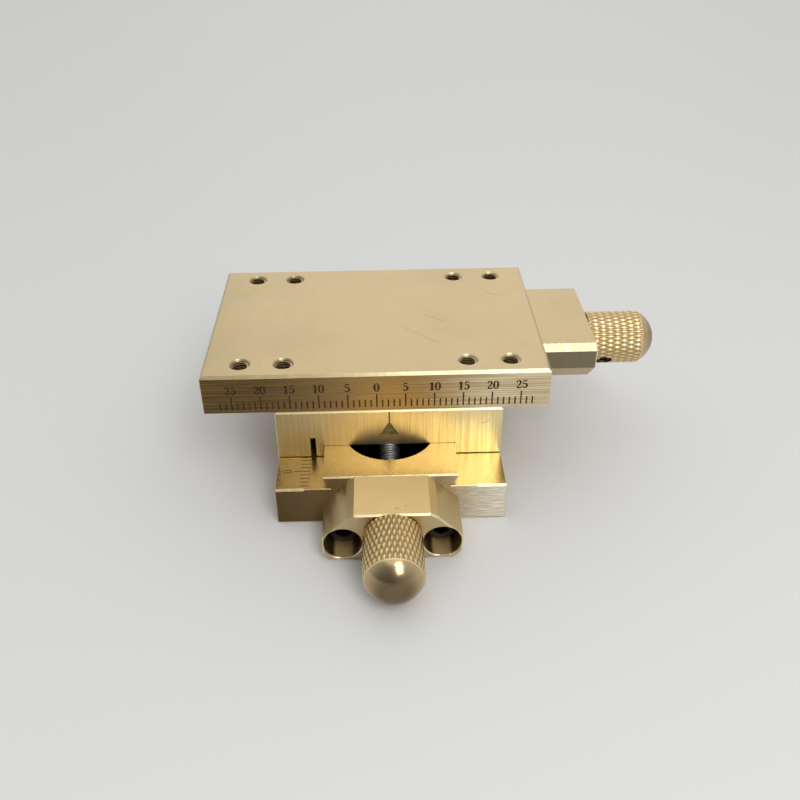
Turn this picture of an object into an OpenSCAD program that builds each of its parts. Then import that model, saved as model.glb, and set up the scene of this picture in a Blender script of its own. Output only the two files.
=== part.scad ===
// Two-axis cross slide: a base plate, a carriage and a top table, each joined by a dovetail.
// A lead screw with a knurled knob drives each axis. All sizes are in millimetres.
// +Z is up, the X knob points to +X and the Y knob to -Y.
// The origin is the middle of the base plate's underside.

/* [Plates] */
// Width of both plates, and side of the square carriage between them
body_w = 40; // [39:0.5:46]
// Thickness of each plate without its rail
plate_t = 7.5; // [7.2:0.1:9]
// Length of the base plate, along Y
base_l = 50; // [46:1:64]
// Length of the top table, along X
table_l = 60; // [56:1:90]
// Height of the carriage
carriage_t = 9.7; // [9.4:0.1:14]
// Chamfer round the table's top face
table_chamfer = 0.5; // [0.2:0.1:0.8]
// Chamfer on the base's lower edges and the carriage's front and back
edge_chamfer = 0.3; // [0.1:0.05:0.5]
// Chamfer that breaks the remaining plate edges
break_chamfer = 0.1; // [0.05:0.05:0.3]
// Length of the filed chamfer at each end of the base's front edge
filed_l = 5; // [2:0.5:7]
// Size of that filed chamfer
filed_chamfer = 0.35; // [0.2:0.05:0.6]

/* [Dovetails] */
// Width of each rail at its land
rail_w = 23.2; // [22.4:0.1:24]
// Height of each rail above its plate
rail_h = 2.5; // [2.2:0.1:2.9]
// Angle between a dovetail flank and the plate
flank_angle = 60; // [55:1:70]
// Height of the land along the rail's sharp edges
rail_land = 0.3; // [0.2:0.05:0.5]
// Chamfer across each end of the rail
rail_edge = 0.25; // [0.1:0.05:0.3]
// Running clearance between a rail and its groove
slide_fit = 0.05; // [0.02:0.01:0.1]
// Gap between a plate's face and the carriage
face_gap = 0.15; // [0.1:0.05:0.3]

/* [Adjustable gibs] */
// Thickness of the gib tongue at the groove's floor
tongue_t = 1.55; // [1.2:0.05:2]
// Width of the slit that frees the tongue
slit_w = 1; // [0.6:0.1:1.4]
// Height of the slit above the plate's face
slit_h = 4.25; // [3.8:0.05:4.6]
// Thread diameter of the gib screws
gib_screw_d = 2.5; // [2:0.5:2.5]
// Depth of the gib screws below the carriage's side
gib_sink = 1.85; // [1:0.05:2.5]
// Height of the gib screws above the plate's face
gib_screw_h = 2; // [1.9:0.1:2.4]
// Spacing of the three gib screws
gib_screw_step = 13; // [8:0.5:15]

/* [Slots and lead screws] */
// Width of the slot milled in each plate
slot_w = 16; // [15:0.1:17]
// Wall between the slot and each end of the plate
slot_wall = 4.5; // [4:0.1:6]
// Thickness left under the slot
slot_floor = 2; // [1.2:0.1:2.4]
// Chamfer round the mouth of the slot
slot_edge = 0.1; // [0.05:0.05:0.2]
// Height of the lead screw above the plate's outer face
screw_h = 5.6; // [5.4:0.05:5.7]
// Thread diameter of the lead screw
screw_d = 4; // [3.5:0.1:4.2]
// Running clearance round the lead screw's thread and journals
screw_fit = 0.05; // [0.02:0.01:0.1]
// Clearance round the lead screw where it passes the plate's end wall
pass_gap = 0.1; // [0.05:0.05:0.3]
// Bare length between the thread's end and the slot's far end
thread_stop = 0.5; // [0.4:0.1:1.5]
// Diameter of the journal at the far end
journal_d = 3; // [2.5:0.1:3.2]
// Length of that journal
journal_l = 3; // [2:0.1:3.5]
// Diameter of the thrust collar
collar_d = 7; // [6.4:0.1:7.2]
// Thickness of the thrust collar
collar_t = 1.5; // [1:0.1:2]
// Thickness of each thrust washer
washer_t = 0.5; // [0.3:0.1:0.8]
// End float on each side of the collar
end_float = 0.03; // [0.02:0.01:0.08]
// Gap round the collar and washers in their recess
recess_gap = 0.15; // [0.1:0.05:0.2]

/* [Nuts] */
// Length of each nut along its screw
nut_l = 11.5; // [10:0.1:12.5]
// Width of each nut
nut_w = 13.6; // [13.2:0.1:14]
// Gap under each nut in the slot
nut_gap = 0.5; // [0.3:0.1:1]
// Thread diameter of the nut screws
nut_screw_d = 2; // [1.6:0.1:2]
// Length of the nut screws under the head
nut_screw_l = 8; // [7:0.5:8.5]
// Distance of each nut screw from the lead screw
nut_screw_y = 4.4; // [4.2:0.1:4.6]
// Depth of the counterbore for each nut screw's head
nut_sink = 2.2; // [2:0.1:2.4]

/* [End brackets] */
// Length of each bracket past the plate
bracket_l = 9.9; // [9:0.05:12]
// Full width of each bracket
bracket_w = 23.3; // [23:0.1:25]
// Width of the flat on the rail side of the bracket
bracket_flat = 12.5; // [11:0.1:13]
// Height of the shallow facet beside that flat
facet_h = 0.8; // [0.4:0.1:1]
// Size of the large chamfer that clears the carriage
bracket_chamfer = 4.1; // [3.8:0.05:4.4]
// Size of the chamfer on the outer side
bracket_low_chamfer = 1.1; // [0.5:0.1:1.5]
// Distance of the bracket from the plate's outer face
bracket_lift = 0.5; // [0.2:0.1:0.8]
// Chamfer round the bracket's outer end
bracket_edge = 0.3; // [0.1:0.05:0.5]
// Thread diameter of the bracket screws
bolt_d = 3; // [2.5:0.5:3]
// Length of the bracket screws under the head
bolt_l = 10; // [8:0.5:10]
// Distance of each bracket screw from the middle
bolt_y = 8.25; // [8.2:0.05:8.4]
// Height of the bracket screws above the plate's outer face
bolt_h = 3.9; // [3.8:0.1:4.1]
// Diameter of the counterbore in the bracket
sink_d = 6.4; // [6:0.1:6.4]
// Depth of the counterbore in the bracket
sink_l = 6.3; // [5:0.1:6.6]
// Chamfer at the mouth of the counterbore
sink_edge = 0.15; // [0.1:0.05:0.2]

/* [Knobs] */
// Diameter over the knurl
knob_d = 10; // [9:0.1:10.8]
// Length of the knurl
knurl_l = 10; // [9:0.5:14]
// Height of the domed end
dome_h = 3; // [2:0.1:4.4]
// Step from the knurl down to the dome
knob_step = 0.2; // [0.2:0.05:0.5]
// Chamfer at both ends of the knurl
knurl_edge = 0.2; // [0.1:0.02:0.28]
// Gap between the knob and the bracket
knob_gap = 0.2; // [0.1:0.05:0.4]
// Depth of the knob's bore
knob_bore_l = 9; // [7:0.5:9]
// Thread diameter of the knob's set screw
set_screw_d = 3; // [2:0.5:3]
// Length of that set screw
set_screw_l = 3; // [2.5:0.1:3.4]
// Distance of the set screw from the knob's inner end
set_screw_x = 3.3; // [2.5:0.1:4.5]
// Depth of the flat that the set screw bears on
shaft_flat = 0.5; // [0.3:0.1:0.8]

/* [Tapped holes] */
// Diameter of the tapped holes in the table and base
tap_d = 3; // [2.5:0.5:4]
// Diameter of the countersink at each tapped hole
countersink_d = 3.7; // [3.2:0.1:4.6]
// Distance of the holes from the long edges
hole_edge = 4; // [3.6:0.1:5]
// Distance of the outer holes from the table's ends
hole_end = 6.5; // [4:0.5:8]
// Distance between neighbouring holes of one row
hole_pair = 7.5; // [6:0.5:9]
// Distance of the base's holes from its ends
base_hole_end = 9; // [6:0.5:10]
// Depth of the base's blind holes
base_hole_l = 6; // [4:0.1:6.5]

/* [Scales] */
// Spacing of the scale lines
tick_step = 1; // [1:1:2]
// Width of an engraved line
tick_w = 0.26; // [0.18:0.02:0.32]
// Depth of an engraved line
tick_depth = 0.1; // [0.05:0.05:0.15]
// Length of a short line on the table
tick_l = 1.55; // [1:0.05:1.8]
// Length of each fifth line on the table
long_tick_l = 2.7; // [2:0.1:3]
// Gap between the table's lower edge and its lines
tick_edge = 0.65; // [0.4:0.05:1]
// Bare length at each end of the table's scale
scale_margin = 3; // [2:0.5:5]
// Length of a short line on the base
base_tick_l = 1.75; // [1:0.05:2.2]
// Length of each fifth line on the base
base_long_tick_l = 2.75; // [2:0.05:3.4]
// Distance of the base's lines from its left edge
base_tick_edge = 3.15; // [2.8:0.05:4]
// Lines ahead of the base's zero line
lines_ahead = 4; // [0:1:4]
// Lines behind the base's zero line
lines_behind = 14; // [8:1:18]
// Height of the pointer triangle
pointer_h = 2.9; // [2:0.1:3.4]
// Width of the pointer triangle
pointer_w = 3.4; // [2:0.1:4]
// Length of the line above the pointer
pointer_line = 2; // [1:0.1:2.6]

/* [Stored position] */
// Place of the table along X, from the carriage's middle
table_x = -2.1; // [-16:0.1:16]
// Place of the carriage along Y, from the base's middle
carriage_y = 4; // [-11:0.1:11]

/* [Hidden] */
$fn = 96;
// Overshoot of a cut past a face
cut = 1;
// Radial clearance of a screw in its tapped hole
thread_fit = 0.02;
// Radial clearance of a screw in a plain hole
shank_gap = 0.2;
// Radial clearance of the knob's bore on the shaft
knob_fit = 0.02;
// Room past the end of a screw in a blind hole
blind_room = 0.7;
stack_h = 2 * plate_t + 2 * face_gap + carriage_t;
rail_top = plate_t + rail_h;
groove_floor = rail_top + slide_fit;
root_w = rail_w - 2 * (rail_h - rail_land) / tan(flank_angle);
tongue_y = rail_w / 2 + tongue_t;
slit_y = tongue_y + slit_w / 2;
gib_screw_l = body_w / 2 - gib_sink - tongue_y;
recess_l = 2 * washer_t + collar_t + 2 * end_float;
recess_d = collar_d + 2 * recess_gap;
seat_l = bracket_l - sink_l;
knob_start = bracket_l + knob_gap;
shaft_l = knob_start + knob_bore_l - blind_room;
thread_d = screw_d - 2 * screw_fit;
set_angle_x = 38;
set_angle_y = -90;
brass = "#C9A765";
bright_brass = "#D8B873";
steel = "#8A8A88";
dark_steel = "#3A3A3C";
bronze = "#A9824A";

// Head and socket sizes of a screw from its thread diameter
function head_d(d) = 1.7 * d + 0.4;
function socket_w(d) = d - 0.5;
function set_socket_w(d) = 0.4 * d + 0.3;

// Outline of a block with chamfered corners, from its lower edge up
function block_outline(w, h, low, high) = [
    [-w / 2 + low, 0], [w / 2 - low, 0], [w / 2, low], [w / 2, h - high],
    [w / 2 - high, h], [-w / 2 + high, h], [-w / 2, h - high], [-w / 2, low]
];

// Draws an outline given across and up, and stretches it along X
module along_x(l, middle = true) {
    rotate([90, 0, 90])
        linear_extrude(height = l, center = middle)
            children();
}

// Cylinder along X that starts at the origin
module rod(d, l) {
    rotate([0, 90, 0])
        cylinder(d = d, h = l);
}

// Hexagonal prism along X that starts at the origin, sized across its flats
module hex_rod(w, l) {
    rotate([0, 90, 0])
        cylinder(d = w / cos(30), h = l, $fn = 6);
}

// Block with chamfered edges that stands on its lower face
module chamfered_block(l, w, h, low, high, corner) {
    intersection() {
        along_x(l)
            polygon(block_outline(w, h, low, high));
        rotate([90, 0, 0])
            linear_extrude(height = w, center = true)
                polygon(block_outline(l, h, low, high));
        translate([0, -w / 2, 0])
            linear_extrude(height = h)
                polygon(block_outline(l, w, corner, corner));
    }
}

// Each stage is drawn with its outer face on Z = 0, its rail up and its bracket at +X.
// The base is such a stage turned to -Y, the table is one turned over.
module as_base() {
    rotate([0, 0, -90])
        children();
}

module as_table() {
    translate([0, 0, stack_h])
        rotate([180, 0, 0])
            children();
}

module at_carriage() {
    translate([0, carriage_y, 0])
        children();
}

module at_table() {
    translate([table_x, carriage_y, 0])
        children();
}

// Dovetail rail that stands on the plate's face
module rail(l) {
    along_x(l)
        polygon([
            [-root_w / 2, plate_t - cut], [root_w / 2, plate_t - cut], [root_w / 2, plate_t],
            [rail_w / 2, rail_top - rail_land], [rail_w / 2, rail_top],
            [-rail_w / 2, rail_top], [-rail_w / 2, rail_top - rail_land], [-root_w / 2, plate_t]
        ]);
}

// Dovetail groove that clears the rail, from below the carriage's face
module groove_cut() {
    side_fit = slide_fit / sin(flank_angle);
    mouth_w = root_w + 2 * side_fit;
    floor_w = mouth_w + 2 * (groove_floor - plate_t) / tan(flank_angle);
    along_x(body_w + 2 * cut)
        polygon([
            [-mouth_w / 2, plate_t - cut], [mouth_w / 2, plate_t - cut], [mouth_w / 2, plate_t],
            [floor_w / 2, groove_floor], [-floor_w / 2, groove_floor], [-mouth_w / 2, plate_t]
        ]);
}

// Slot with round ends for the nut, open through the rail, with a chamfered mouth
module slot_cut(l) {
    reach = l / 2 - slot_wall - slot_w / 2;
    flare = slot_edge + cut;
    translate([0, 0, slot_floor])
        linear_extrude(height = rail_top) {
            square([2 * reach, slot_w], center = true);
            for (side = [-1, 1])
                translate([side * reach, 0])
                    circle(d = slot_w);
        }
    translate([0, 0, rail_top - slot_edge]) {
        along_x(2 * reach)
            polygon([
                [-slot_w / 2, 0], [slot_w / 2, 0],
                [slot_w / 2 + flare, flare], [-slot_w / 2 - flare, flare]
            ]);
        for (side = [-1, 1])
            translate([side * reach, 0, 0])
                cylinder(d1 = slot_w, d2 = slot_w + 2 * flare, h = flare);
    }
}

// Plate of one stage with its rail, slot and screw bores
module stage_plate(l, face_chamfer) {
    difference() {
        union() {
            chamfered_block(l, body_w, plate_t, face_chamfer, break_chamfer, break_chamfer);
            rail(l);
        }
        slot_cut(l);
        for (side = [-1, 1])
            translate([side * l / 2, 0, rail_top])
                rotate([0, 45, 0])
                    cube([rail_edge * sqrt(2), body_w, rail_edge * sqrt(2)], center = true);
        translate([l / 2 - slot_wall - cut, 0, screw_h])
            rod(screw_d + 2 * pass_gap, slot_wall + 2 * cut);
        translate([-l / 2 + slot_wall - journal_l - blind_room, 0, screw_h])
            rod(journal_d + 2 * screw_fit, journal_l + blind_room + cut);
        for (side = [-1, 1])
            translate([l / 2 - bolt_l + seat_l - blind_room, side * bolt_y, bolt_h])
                rod(bolt_d + 2 * thread_fit, bolt_l - seat_l + blind_room + cut);
    }
}

// Tapped hole drilled up from a face at Z = 0, with its countersink
module tapped_hole(l) {
    lip = (countersink_d - tap_d) / 2;
    translate([0, 0, -cut])
        cylinder(d = tap_d, h = l + cut);
    translate([0, 0, -cut])
        cylinder(d1 = countersink_d + 2 * cut, d2 = tap_d, h = lip + cut);
}

// Chamfer along every side of an outline's far end, the outline drawn right round to the left
module end_chamfer_cut(outline, x, size) {
    last = len(outline) - 1;
    for (i = [0 : last]) {
        from = outline[i];
        to = outline[i == last ? 0 : i + 1];
        way = to - from;
        translate([x, (from[0] + to[0]) / 2, (from[1] + to[1]) / 2])
            rotate([atan2(way[1], way[0]), 0, 0])
                rotate([0, 45, 0])
                    cube([size * sqrt(2), norm(way) + 2 * size, size * sqrt(2)], center = true);
    }
}

// End bracket of one stage, drawn from the plate's end at X = 0
module stage_bracket() {
    flat_y = bracket_flat / 2;
    side_y = bracket_w / 2;
    facet_y = side_y - bracket_chamfer;
    facet_z = rail_top - facet_h;
    low_z = bracket_lift + bracket_low_chamfer;
    outline = [
        [-side_y + bracket_low_chamfer, bracket_lift], [side_y - bracket_low_chamfer, bracket_lift],
        [side_y, low_z], [side_y, facet_z - bracket_chamfer], [facet_y, facet_z],
        [flat_y, rail_top], [-flat_y, rail_top],
        [-facet_y, facet_z], [-side_y, facet_z - bracket_chamfer], [-side_y, low_z]
    ];
    difference() {
        along_x(bracket_l, false)
            polygon(outline);
        end_chamfer_cut(outline, bracket_l, bracket_edge);
        translate([-cut, 0, screw_h])
            rod(screw_d + 2 * screw_fit, bracket_l + 2 * cut);
        translate([-cut, 0, screw_h])
            rod(recess_d, recess_l + cut);
        for (side = [-1, 1])
            translate([0, side * bolt_y, bolt_h]) {
                translate([-cut, 0, 0])
                    rod(bolt_d + 2 * shank_gap, bracket_l + 2 * cut);
                translate([seat_l, 0, 0])
                    rod(sink_d, sink_l + cut);
                translate([bracket_l - sink_edge, 0, 0])
                    rotate([0, 90, 0])
                        cylinder(d1 = sink_d, d2 = sink_d + 2 * (sink_edge + cut), h = sink_edge + cut);
            }
    }
}

// Socket cap screw along X, its head's seat at X = 0 and its tip at -X
module cap_screw(d, l) {
    difference() {
        union() {
            translate([-l, 0, 0])
                rod(d, l + d / 2);
            rod(head_d(d), d);
        }
        translate([d / 2, 0, 0])
            hex_rod(socket_w(d), d / 2 + cut);
    }
}

// Set screw along X, its tip at X = 0 and its socket at the far end
module set_screw(d, l) {
    difference() {
        rod(d, l);
        translate([l / 2, 0, 0])
            hex_rod(set_socket_w(d), l / 2 + cut);
    }
}

// The pair of screws that holds one bracket, from the plate's end at X = 0
module bracket_screw_pair() {
    for (side = [-1, 1])
        translate([seat_l, side * bolt_y, bolt_h])
            cap_screw(bolt_d, bolt_l);
}

// Washers on both sides of the thrust collar
module washer_pair() {
    for (x = [0, washer_t + collar_t + 2 * end_float])
        translate([x, 0, screw_h])
            difference() {
                rod(collar_d, washer_t);
                translate([-cut, 0, 0])
                    rod(screw_d + 2 * pass_gap, washer_t + 2 * cut);
            }
}

// Lead screw of a plate of length l, from the plate's bracket end at X = 0
module stage_screw(l, set_angle) {
    thread_l = l - slot_wall - thread_stop;
    end_l = journal_l + thread_stop;
    collar_x = washer_t + end_float;
    flat_x = knob_start + set_screw_x - set_screw_d;
    translate([0, 0, screw_h])
        difference() {
            union() {
                translate([-thread_l, 0, 0])
                    rod(thread_d, thread_l + collar_x + collar_t / 2);
                translate([-thread_l - end_l, 0, 0])
                    rod(journal_d, end_l + cut);
                translate([collar_x, 0, 0])
                    rod(collar_d, collar_t);
                translate([collar_x + collar_t / 2, 0, 0])
                    rod(screw_d, shaft_l - collar_x - collar_t / 2);
            }
            rotate([set_angle, 0, 0])
                translate([flat_x, screw_d / 2 - shaft_flat, -screw_d / 2])
                    cube([shaft_l - flat_x + cut, screw_d, screw_d]);
        }
}

// Half outline of a knob: radius across, length up, with its domed end on top
module knob_outline() {
    half = knob_d / 2;
    dome_r = half - knob_step;
    ball_r = (dome_r * dome_r + dome_h * dome_h) / (2 * dome_h);
    polygon([
        [0, 0], [half - knurl_edge, 0], [half, knurl_edge],
        [half, knurl_l - knurl_edge], [half - knurl_edge, knurl_l], [0, knurl_l]
    ]);
    intersection() {
        translate([0, knurl_l + dome_h - ball_r])
            circle(r = ball_r);
        translate([0, knurl_l - knurl_edge])
            square([half, dome_h + 2 * knurl_edge]);
    }
}

// Knob with a domed end, from the plate's bracket end at X = 0
module stage_knob(set_angle) {
    translate([knob_start, 0, screw_h])
        difference() {
            rotate([0, 90, 0])
                rotate_extrude()
                    knob_outline();
            translate([-cut, 0, 0])
                rod(screw_d + 2 * knob_fit, knob_bore_l + cut);
            rotate([set_angle, 0, 0])
                translate([set_screw_x, 0, 0])
                    rotate([0, 0, 90])
                        rod(set_screw_d + 2 * thread_fit, knob_d);
        }
}

// Set screw of a knob, its tip on the shaft's flat
module knob_screw(set_angle) {
    translate([knob_start + set_screw_x, 0, screw_h])
        rotate([set_angle, 0, 0])
            translate([0, screw_d / 2 - shaft_flat, 0])
                rotate([0, 0, 90])
                    set_screw(set_screw_d, set_screw_l);
}

// Places of the two screws of a nut, from the nut's middle
module at_nut_screws() {
    for (side = [-1, 1])
        translate([0, side * nut_screw_y, 0])
            children();
}

// Nut that hangs from the carriage's groove into the slot, with ends that suit the slot's
module stage_nut() {
    low = slot_floor + nut_gap;
    shift = slot_w / 2 - nut_l / 2;
    difference() {
        translate([0, 0, low])
            linear_extrude(height = groove_floor - low)
                intersection() {
                    square([nut_l, nut_w], center = true);
                    translate([shift, 0])
                        circle(d = slot_w);
                    translate([-shift, 0])
                        circle(d = slot_w);
                }
        translate([-nut_l, 0, screw_h])
            rod(screw_d, 2 * nut_l);
        at_nut_screws()
            translate([0, 0, low]) {
                translate([0, 0, -cut])
                    cylinder(d = nut_screw_d + 2 * shank_gap, h = stack_h);
                translate([0, 0, -cut])
                    cylinder(d = head_d(nut_screw_d) + shank_gap, h = nut_sink + cut);
            }
    }
}

// Screws that hold a nut up to the carriage
module nut_screw_pair() {
    seat = slot_floor + nut_gap + nut_sink;
    at_nut_screws()
        translate([0, 0, seat])
            rotate([0, 90, 0])
                cap_screw(nut_screw_d, nut_screw_l);
}

// Places of one axis's gib screws, each drawn inward from its tip on the tongue
module at_gib_screws() {
    for (k = [-1, 0, 1])
        translate([k * gib_screw_step, -tongue_y, plate_t + gib_screw_h])
            rotate([0, 0, -90])
                children();
}

// Cuts that one axis makes in the carriage
module axis_cuts() {
    nut_hole_top = slot_floor + nut_gap + nut_sink + nut_screw_l + blind_room;
    groove_cut();
    translate([0, -slit_y, plate_t + slit_h / 2])
        cube([body_w + 2 * cut, slit_w, slit_h], center = true);
    at_gib_screws()
        rod(gib_screw_d + 2 * thread_fit, body_w / 2);
    at_nut_screws()
        translate([0, 0, groove_floor - cut])
            cylinder(d = nut_screw_d + 2 * thread_fit, h = nut_hole_top - groove_floor + cut);
}

// Pointer and its line, engraved in the carriage's front face
module pointer_cut() {
    carriage_top = stack_h - plate_t - face_gap;
    line_top = carriage_top - edge_chamfer;
    tip = line_top - pointer_line;
    translate([0, -body_w / 2 + tick_depth, 0])
        rotate([90, 0, 0])
            linear_extrude(height = tick_depth + cut) {
                polygon([[0, tip], [-pointer_w / 2, tip - pointer_h], [pointer_w / 2, tip - pointer_h]]);
                translate([0, (tip - tick_w + line_top) / 2])
                    square([tick_w, pointer_line + tick_w], center = true);
            }
}

// Scale lines on the table's front face
module table_scale_cut() {
    lines = floor((table_l / 2 - scale_margin) / tick_step);
    low = stack_h - plate_t + tick_edge;
    for (k = [-lines : lines]) {
        line_l = k % 5 == 0 ? long_tick_l : tick_l;
        translate([k * tick_step - tick_w / 2, -body_w / 2 - cut, low])
            cube([tick_w, tick_depth + cut, line_l]);
    }
}

// Scale lines on the base's left shoulder, the zero line under the middle position's edge
module base_scale_cut() {
    for (k = [-lines_ahead : lines_behind]) {
        line_l = k % 5 == 0 ? base_long_tick_l : base_tick_l;
        inner = -body_w / 2 + base_tick_edge + base_long_tick_l;
        translate([inner - line_l, -body_w / 2 + k * tick_step - tick_w / 2, plate_t - tick_depth])
            cube([line_l, tick_w, tick_depth + cut]);
    }
}

// Filed chamfer on the outer parts of the base's front edge
module filed_cut() {
    for (side = [-1, 1])
        translate([side * (body_w / 2 - filed_l / 2), -base_l / 2, plate_t])
            rotate([45, 0, 0])
                cube([filed_l + break_chamfer, filed_chamfer * sqrt(2), filed_chamfer * sqrt(2)], center = true);
}

module base_plate() {
    hole_x = body_w / 2 - hole_edge;
    hole_y = base_l / 2 - base_hole_end;
    color(brass)
        difference() {
            as_base()
                stage_plate(base_l, edge_chamfer);
            for (x = [-hole_x, hole_x], y = [-hole_y, hole_y])
                translate([x, y, 0])
                    tapped_hole(base_hole_l);
            base_scale_cut();
            filed_cut();
        }
}

module top_table() {
    outer_x = table_l / 2 - hole_end;
    hole_y = body_w / 2 - hole_edge;
    color(brass)
        at_table()
            difference() {
                as_table()
                    stage_plate(table_l, table_chamfer);
                for (x = [-outer_x, -outer_x + hole_pair, outer_x - hole_pair, outer_x], y = [-hole_y, hole_y])
                    translate([x, y, stack_h])
                        rotate([180, 0, 0])
                            tapped_hole(plate_t + cut);
                table_scale_cut();
            }
}

module carriage() {
    low = plate_t + face_gap;
    color(brass)
        at_carriage()
            difference() {
                translate([0, 0, low])
                    chamfered_block(body_w, body_w, carriage_t, break_chamfer, edge_chamfer, break_chamfer);
                as_base()
                    axis_cuts();
                as_table()
                    axis_cuts();
                pointer_cut();
            }
}

module y_end_bracket() {
    color(bright_brass)
        as_base()
            translate([base_l / 2, 0, 0])
                stage_bracket();
}

module x_end_bracket() {
    color(bright_brass)
        at_table()
            as_table()
                translate([table_l / 2, 0, 0])
                    stage_bracket();
}

module y_bracket_screws() {
    color(dark_steel)
        as_base()
            translate([base_l / 2, 0, 0])
                bracket_screw_pair();
}

module x_bracket_screws() {
    color(dark_steel)
        at_table()
            as_table()
                translate([table_l / 2, 0, 0])
                    bracket_screw_pair();
}

module y_thrust_washers() {
    color(bronze)
        as_base()
            translate([base_l / 2, 0, 0])
                washer_pair();
}

module x_thrust_washers() {
    color(bronze)
        at_table()
            as_table()
                translate([table_l / 2, 0, 0])
                    washer_pair();
}

module y_lead_screw() {
    color(steel)
        as_base()
            translate([base_l / 2, 0, 0])
                stage_screw(base_l, set_angle_y);
}

module x_lead_screw() {
    color(steel)
        at_table()
            as_table()
                translate([table_l / 2, 0, 0])
                    stage_screw(table_l, set_angle_x);
}

module y_knob() {
    color(bright_brass)
        as_base()
            translate([base_l / 2, 0, 0])
                stage_knob(set_angle_y);
}

module x_knob() {
    color(bright_brass)
        at_table()
            as_table()
                translate([table_l / 2, 0, 0])
                    stage_knob(set_angle_x);
}

module y_knob_set_screw() {
    color(dark_steel)
        as_base()
            translate([base_l / 2, 0, 0])
                knob_screw(set_angle_y);
}

module x_knob_set_screw() {
    color(dark_steel)
        at_table()
            as_table()
                translate([table_l / 2, 0, 0])
                    knob_screw(set_angle_x);
}

module y_nut() {
    color(bronze)
        at_carriage()
            as_base()
                stage_nut();
}

module x_nut() {
    color(bronze)
        at_carriage()
            as_table()
                stage_nut();
}

module y_nut_screws() {
    color(dark_steel)
        at_carriage()
            as_base()
                nut_screw_pair();
}

module x_nut_screws() {
    color(dark_steel)
        at_carriage()
            as_table()
                nut_screw_pair();
}

module y_gib_screws() {
    color(dark_steel)
        at_carriage()
            as_base()
                at_gib_screws()
                    set_screw(gib_screw_d, gib_screw_l);
}

module x_gib_screws() {
    color(dark_steel)
        at_carriage()
            as_table()
                at_gib_screws()
                    set_screw(gib_screw_d, gib_screw_l);
}

base_plate();
y_end_bracket();
y_bracket_screws();
y_thrust_washers();
y_lead_screw();
y_knob();
y_knob_set_screw();
carriage();
y_nut();
y_nut_screws();
x_nut();
x_nut_screws();
y_gib_screws();
x_gib_screws();
top_table();
x_end_bracket();
x_bracket_screws();
x_thrust_washers();
x_lead_screw();
x_knob();
x_knob_set_screw();
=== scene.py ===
from math import atan2, cos, hypot, pi, radians, sin, tan

import bmesh
import bpy
from bmesh.types import BMEdge, BMVert
from bpy.props import FloatProperty, FloatVectorProperty, IntProperty, PointerProperty
from mathutils import Matrix, Vector


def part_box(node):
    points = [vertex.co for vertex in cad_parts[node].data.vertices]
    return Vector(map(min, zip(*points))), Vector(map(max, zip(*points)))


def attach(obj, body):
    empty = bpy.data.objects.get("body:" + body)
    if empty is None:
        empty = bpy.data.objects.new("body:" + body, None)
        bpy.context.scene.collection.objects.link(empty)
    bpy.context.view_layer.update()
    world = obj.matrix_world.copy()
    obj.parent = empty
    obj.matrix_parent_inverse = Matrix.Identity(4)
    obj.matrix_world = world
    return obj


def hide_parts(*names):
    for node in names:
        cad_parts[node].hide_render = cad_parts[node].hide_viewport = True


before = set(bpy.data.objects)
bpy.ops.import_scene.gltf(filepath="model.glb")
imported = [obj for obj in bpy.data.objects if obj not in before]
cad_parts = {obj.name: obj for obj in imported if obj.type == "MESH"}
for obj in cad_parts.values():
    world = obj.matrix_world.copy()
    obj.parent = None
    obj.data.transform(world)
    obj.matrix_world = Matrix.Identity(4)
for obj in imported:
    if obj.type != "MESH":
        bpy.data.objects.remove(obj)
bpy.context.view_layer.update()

bl_info = {
    "name": "XY Cross Slide",
    "version": (1, 0, 0),
    "blender": (4, 5, 0),
    "location": "View3D > Sidebar > Cross Slide",
    "description": "Finishes and fine detail of a small brass cross slide, round its CAD frame",
    "category": "Object",
}

MM = 0.001

# Camera, as the photograph was taken: its place in millimetres and its turns in degrees
IMAGE_PX = 800
FOCAL_PX = 881.3
SENSOR_MM = 36.0
CAMERA_PLACE = (-1.49, -141.59, 105.74)
CAMERA_PITCH = 34.46
CAMERA_YAW = 1.55
CAMERA_ROLL = -0.48

# Lamps: name, place and size in millimetres, and brightness. Colours of the room, from 0 to 1
LAMPS = (
    ("back_softbox", (60, 520, 330), 420, 0.35),
    ("front_softbox", (165, -330, 490), 230, 3.6),
    ("key", (118, -305, 235), 130, 4.8),
)
LAMP_AIM = Vector((0, 0, 15))
ROOM_LEFT = (0.27, 0.27, 0.28)
ROOM_RIGHT = (0.60, 0.60, 0.61)
ROOM_BACK = (0.74, 0.74, 0.73)
ROOM_ABOVE = (1.0, 1.0, 0.98)

# Sizes that the CAD boxes don't give, in millimetres
KNURL_LENGTH = 10.0
KNURL_EDGE = 0.2
DOME_STEP = 0.2
DOME_HEIGHT = 3.0
KNOB_BORE = 4.04
KNOB_BORE_DEPTH = 9.0
BORE_EDGE = 0.25
DRILL_TIP = 0.8
SET_SCREW_HOLE = 3.04
SET_SCREW_HOLE_REACH = 7.0
JOURNAL_DIAMETER = 3.0
JOURNAL_REACH = 3.5
THREAD_DIAMETER = 3.9
SHAFT_DIAMETER = 4.0
SHAFT_FLAT = 0.5
SHAFT_FLAT_REACH = 3.0
SHAFT_EDGE = 0.2
COLLAR_DIAMETER = 7.0
COLLAR_THICKNESS = 1.5
COLLAR_INSET = 0.53
COLLAR_EDGE = 0.1
RAIL_HEIGHT = 2.5
COARSE_PITCH = {2.0: 0.4, 2.5: 0.45, 3.0: 0.5, 4.0: 0.7}
LEAD_PITCH = COARSE_PITCH[4.0]
THREAD_SHARE = 0.6

# Way out of the slide along each axis, from the plate to the knob
WAYS = {"y": Vector((0, -1, 0)), "x": Vector((1, 0, 0))}

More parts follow.
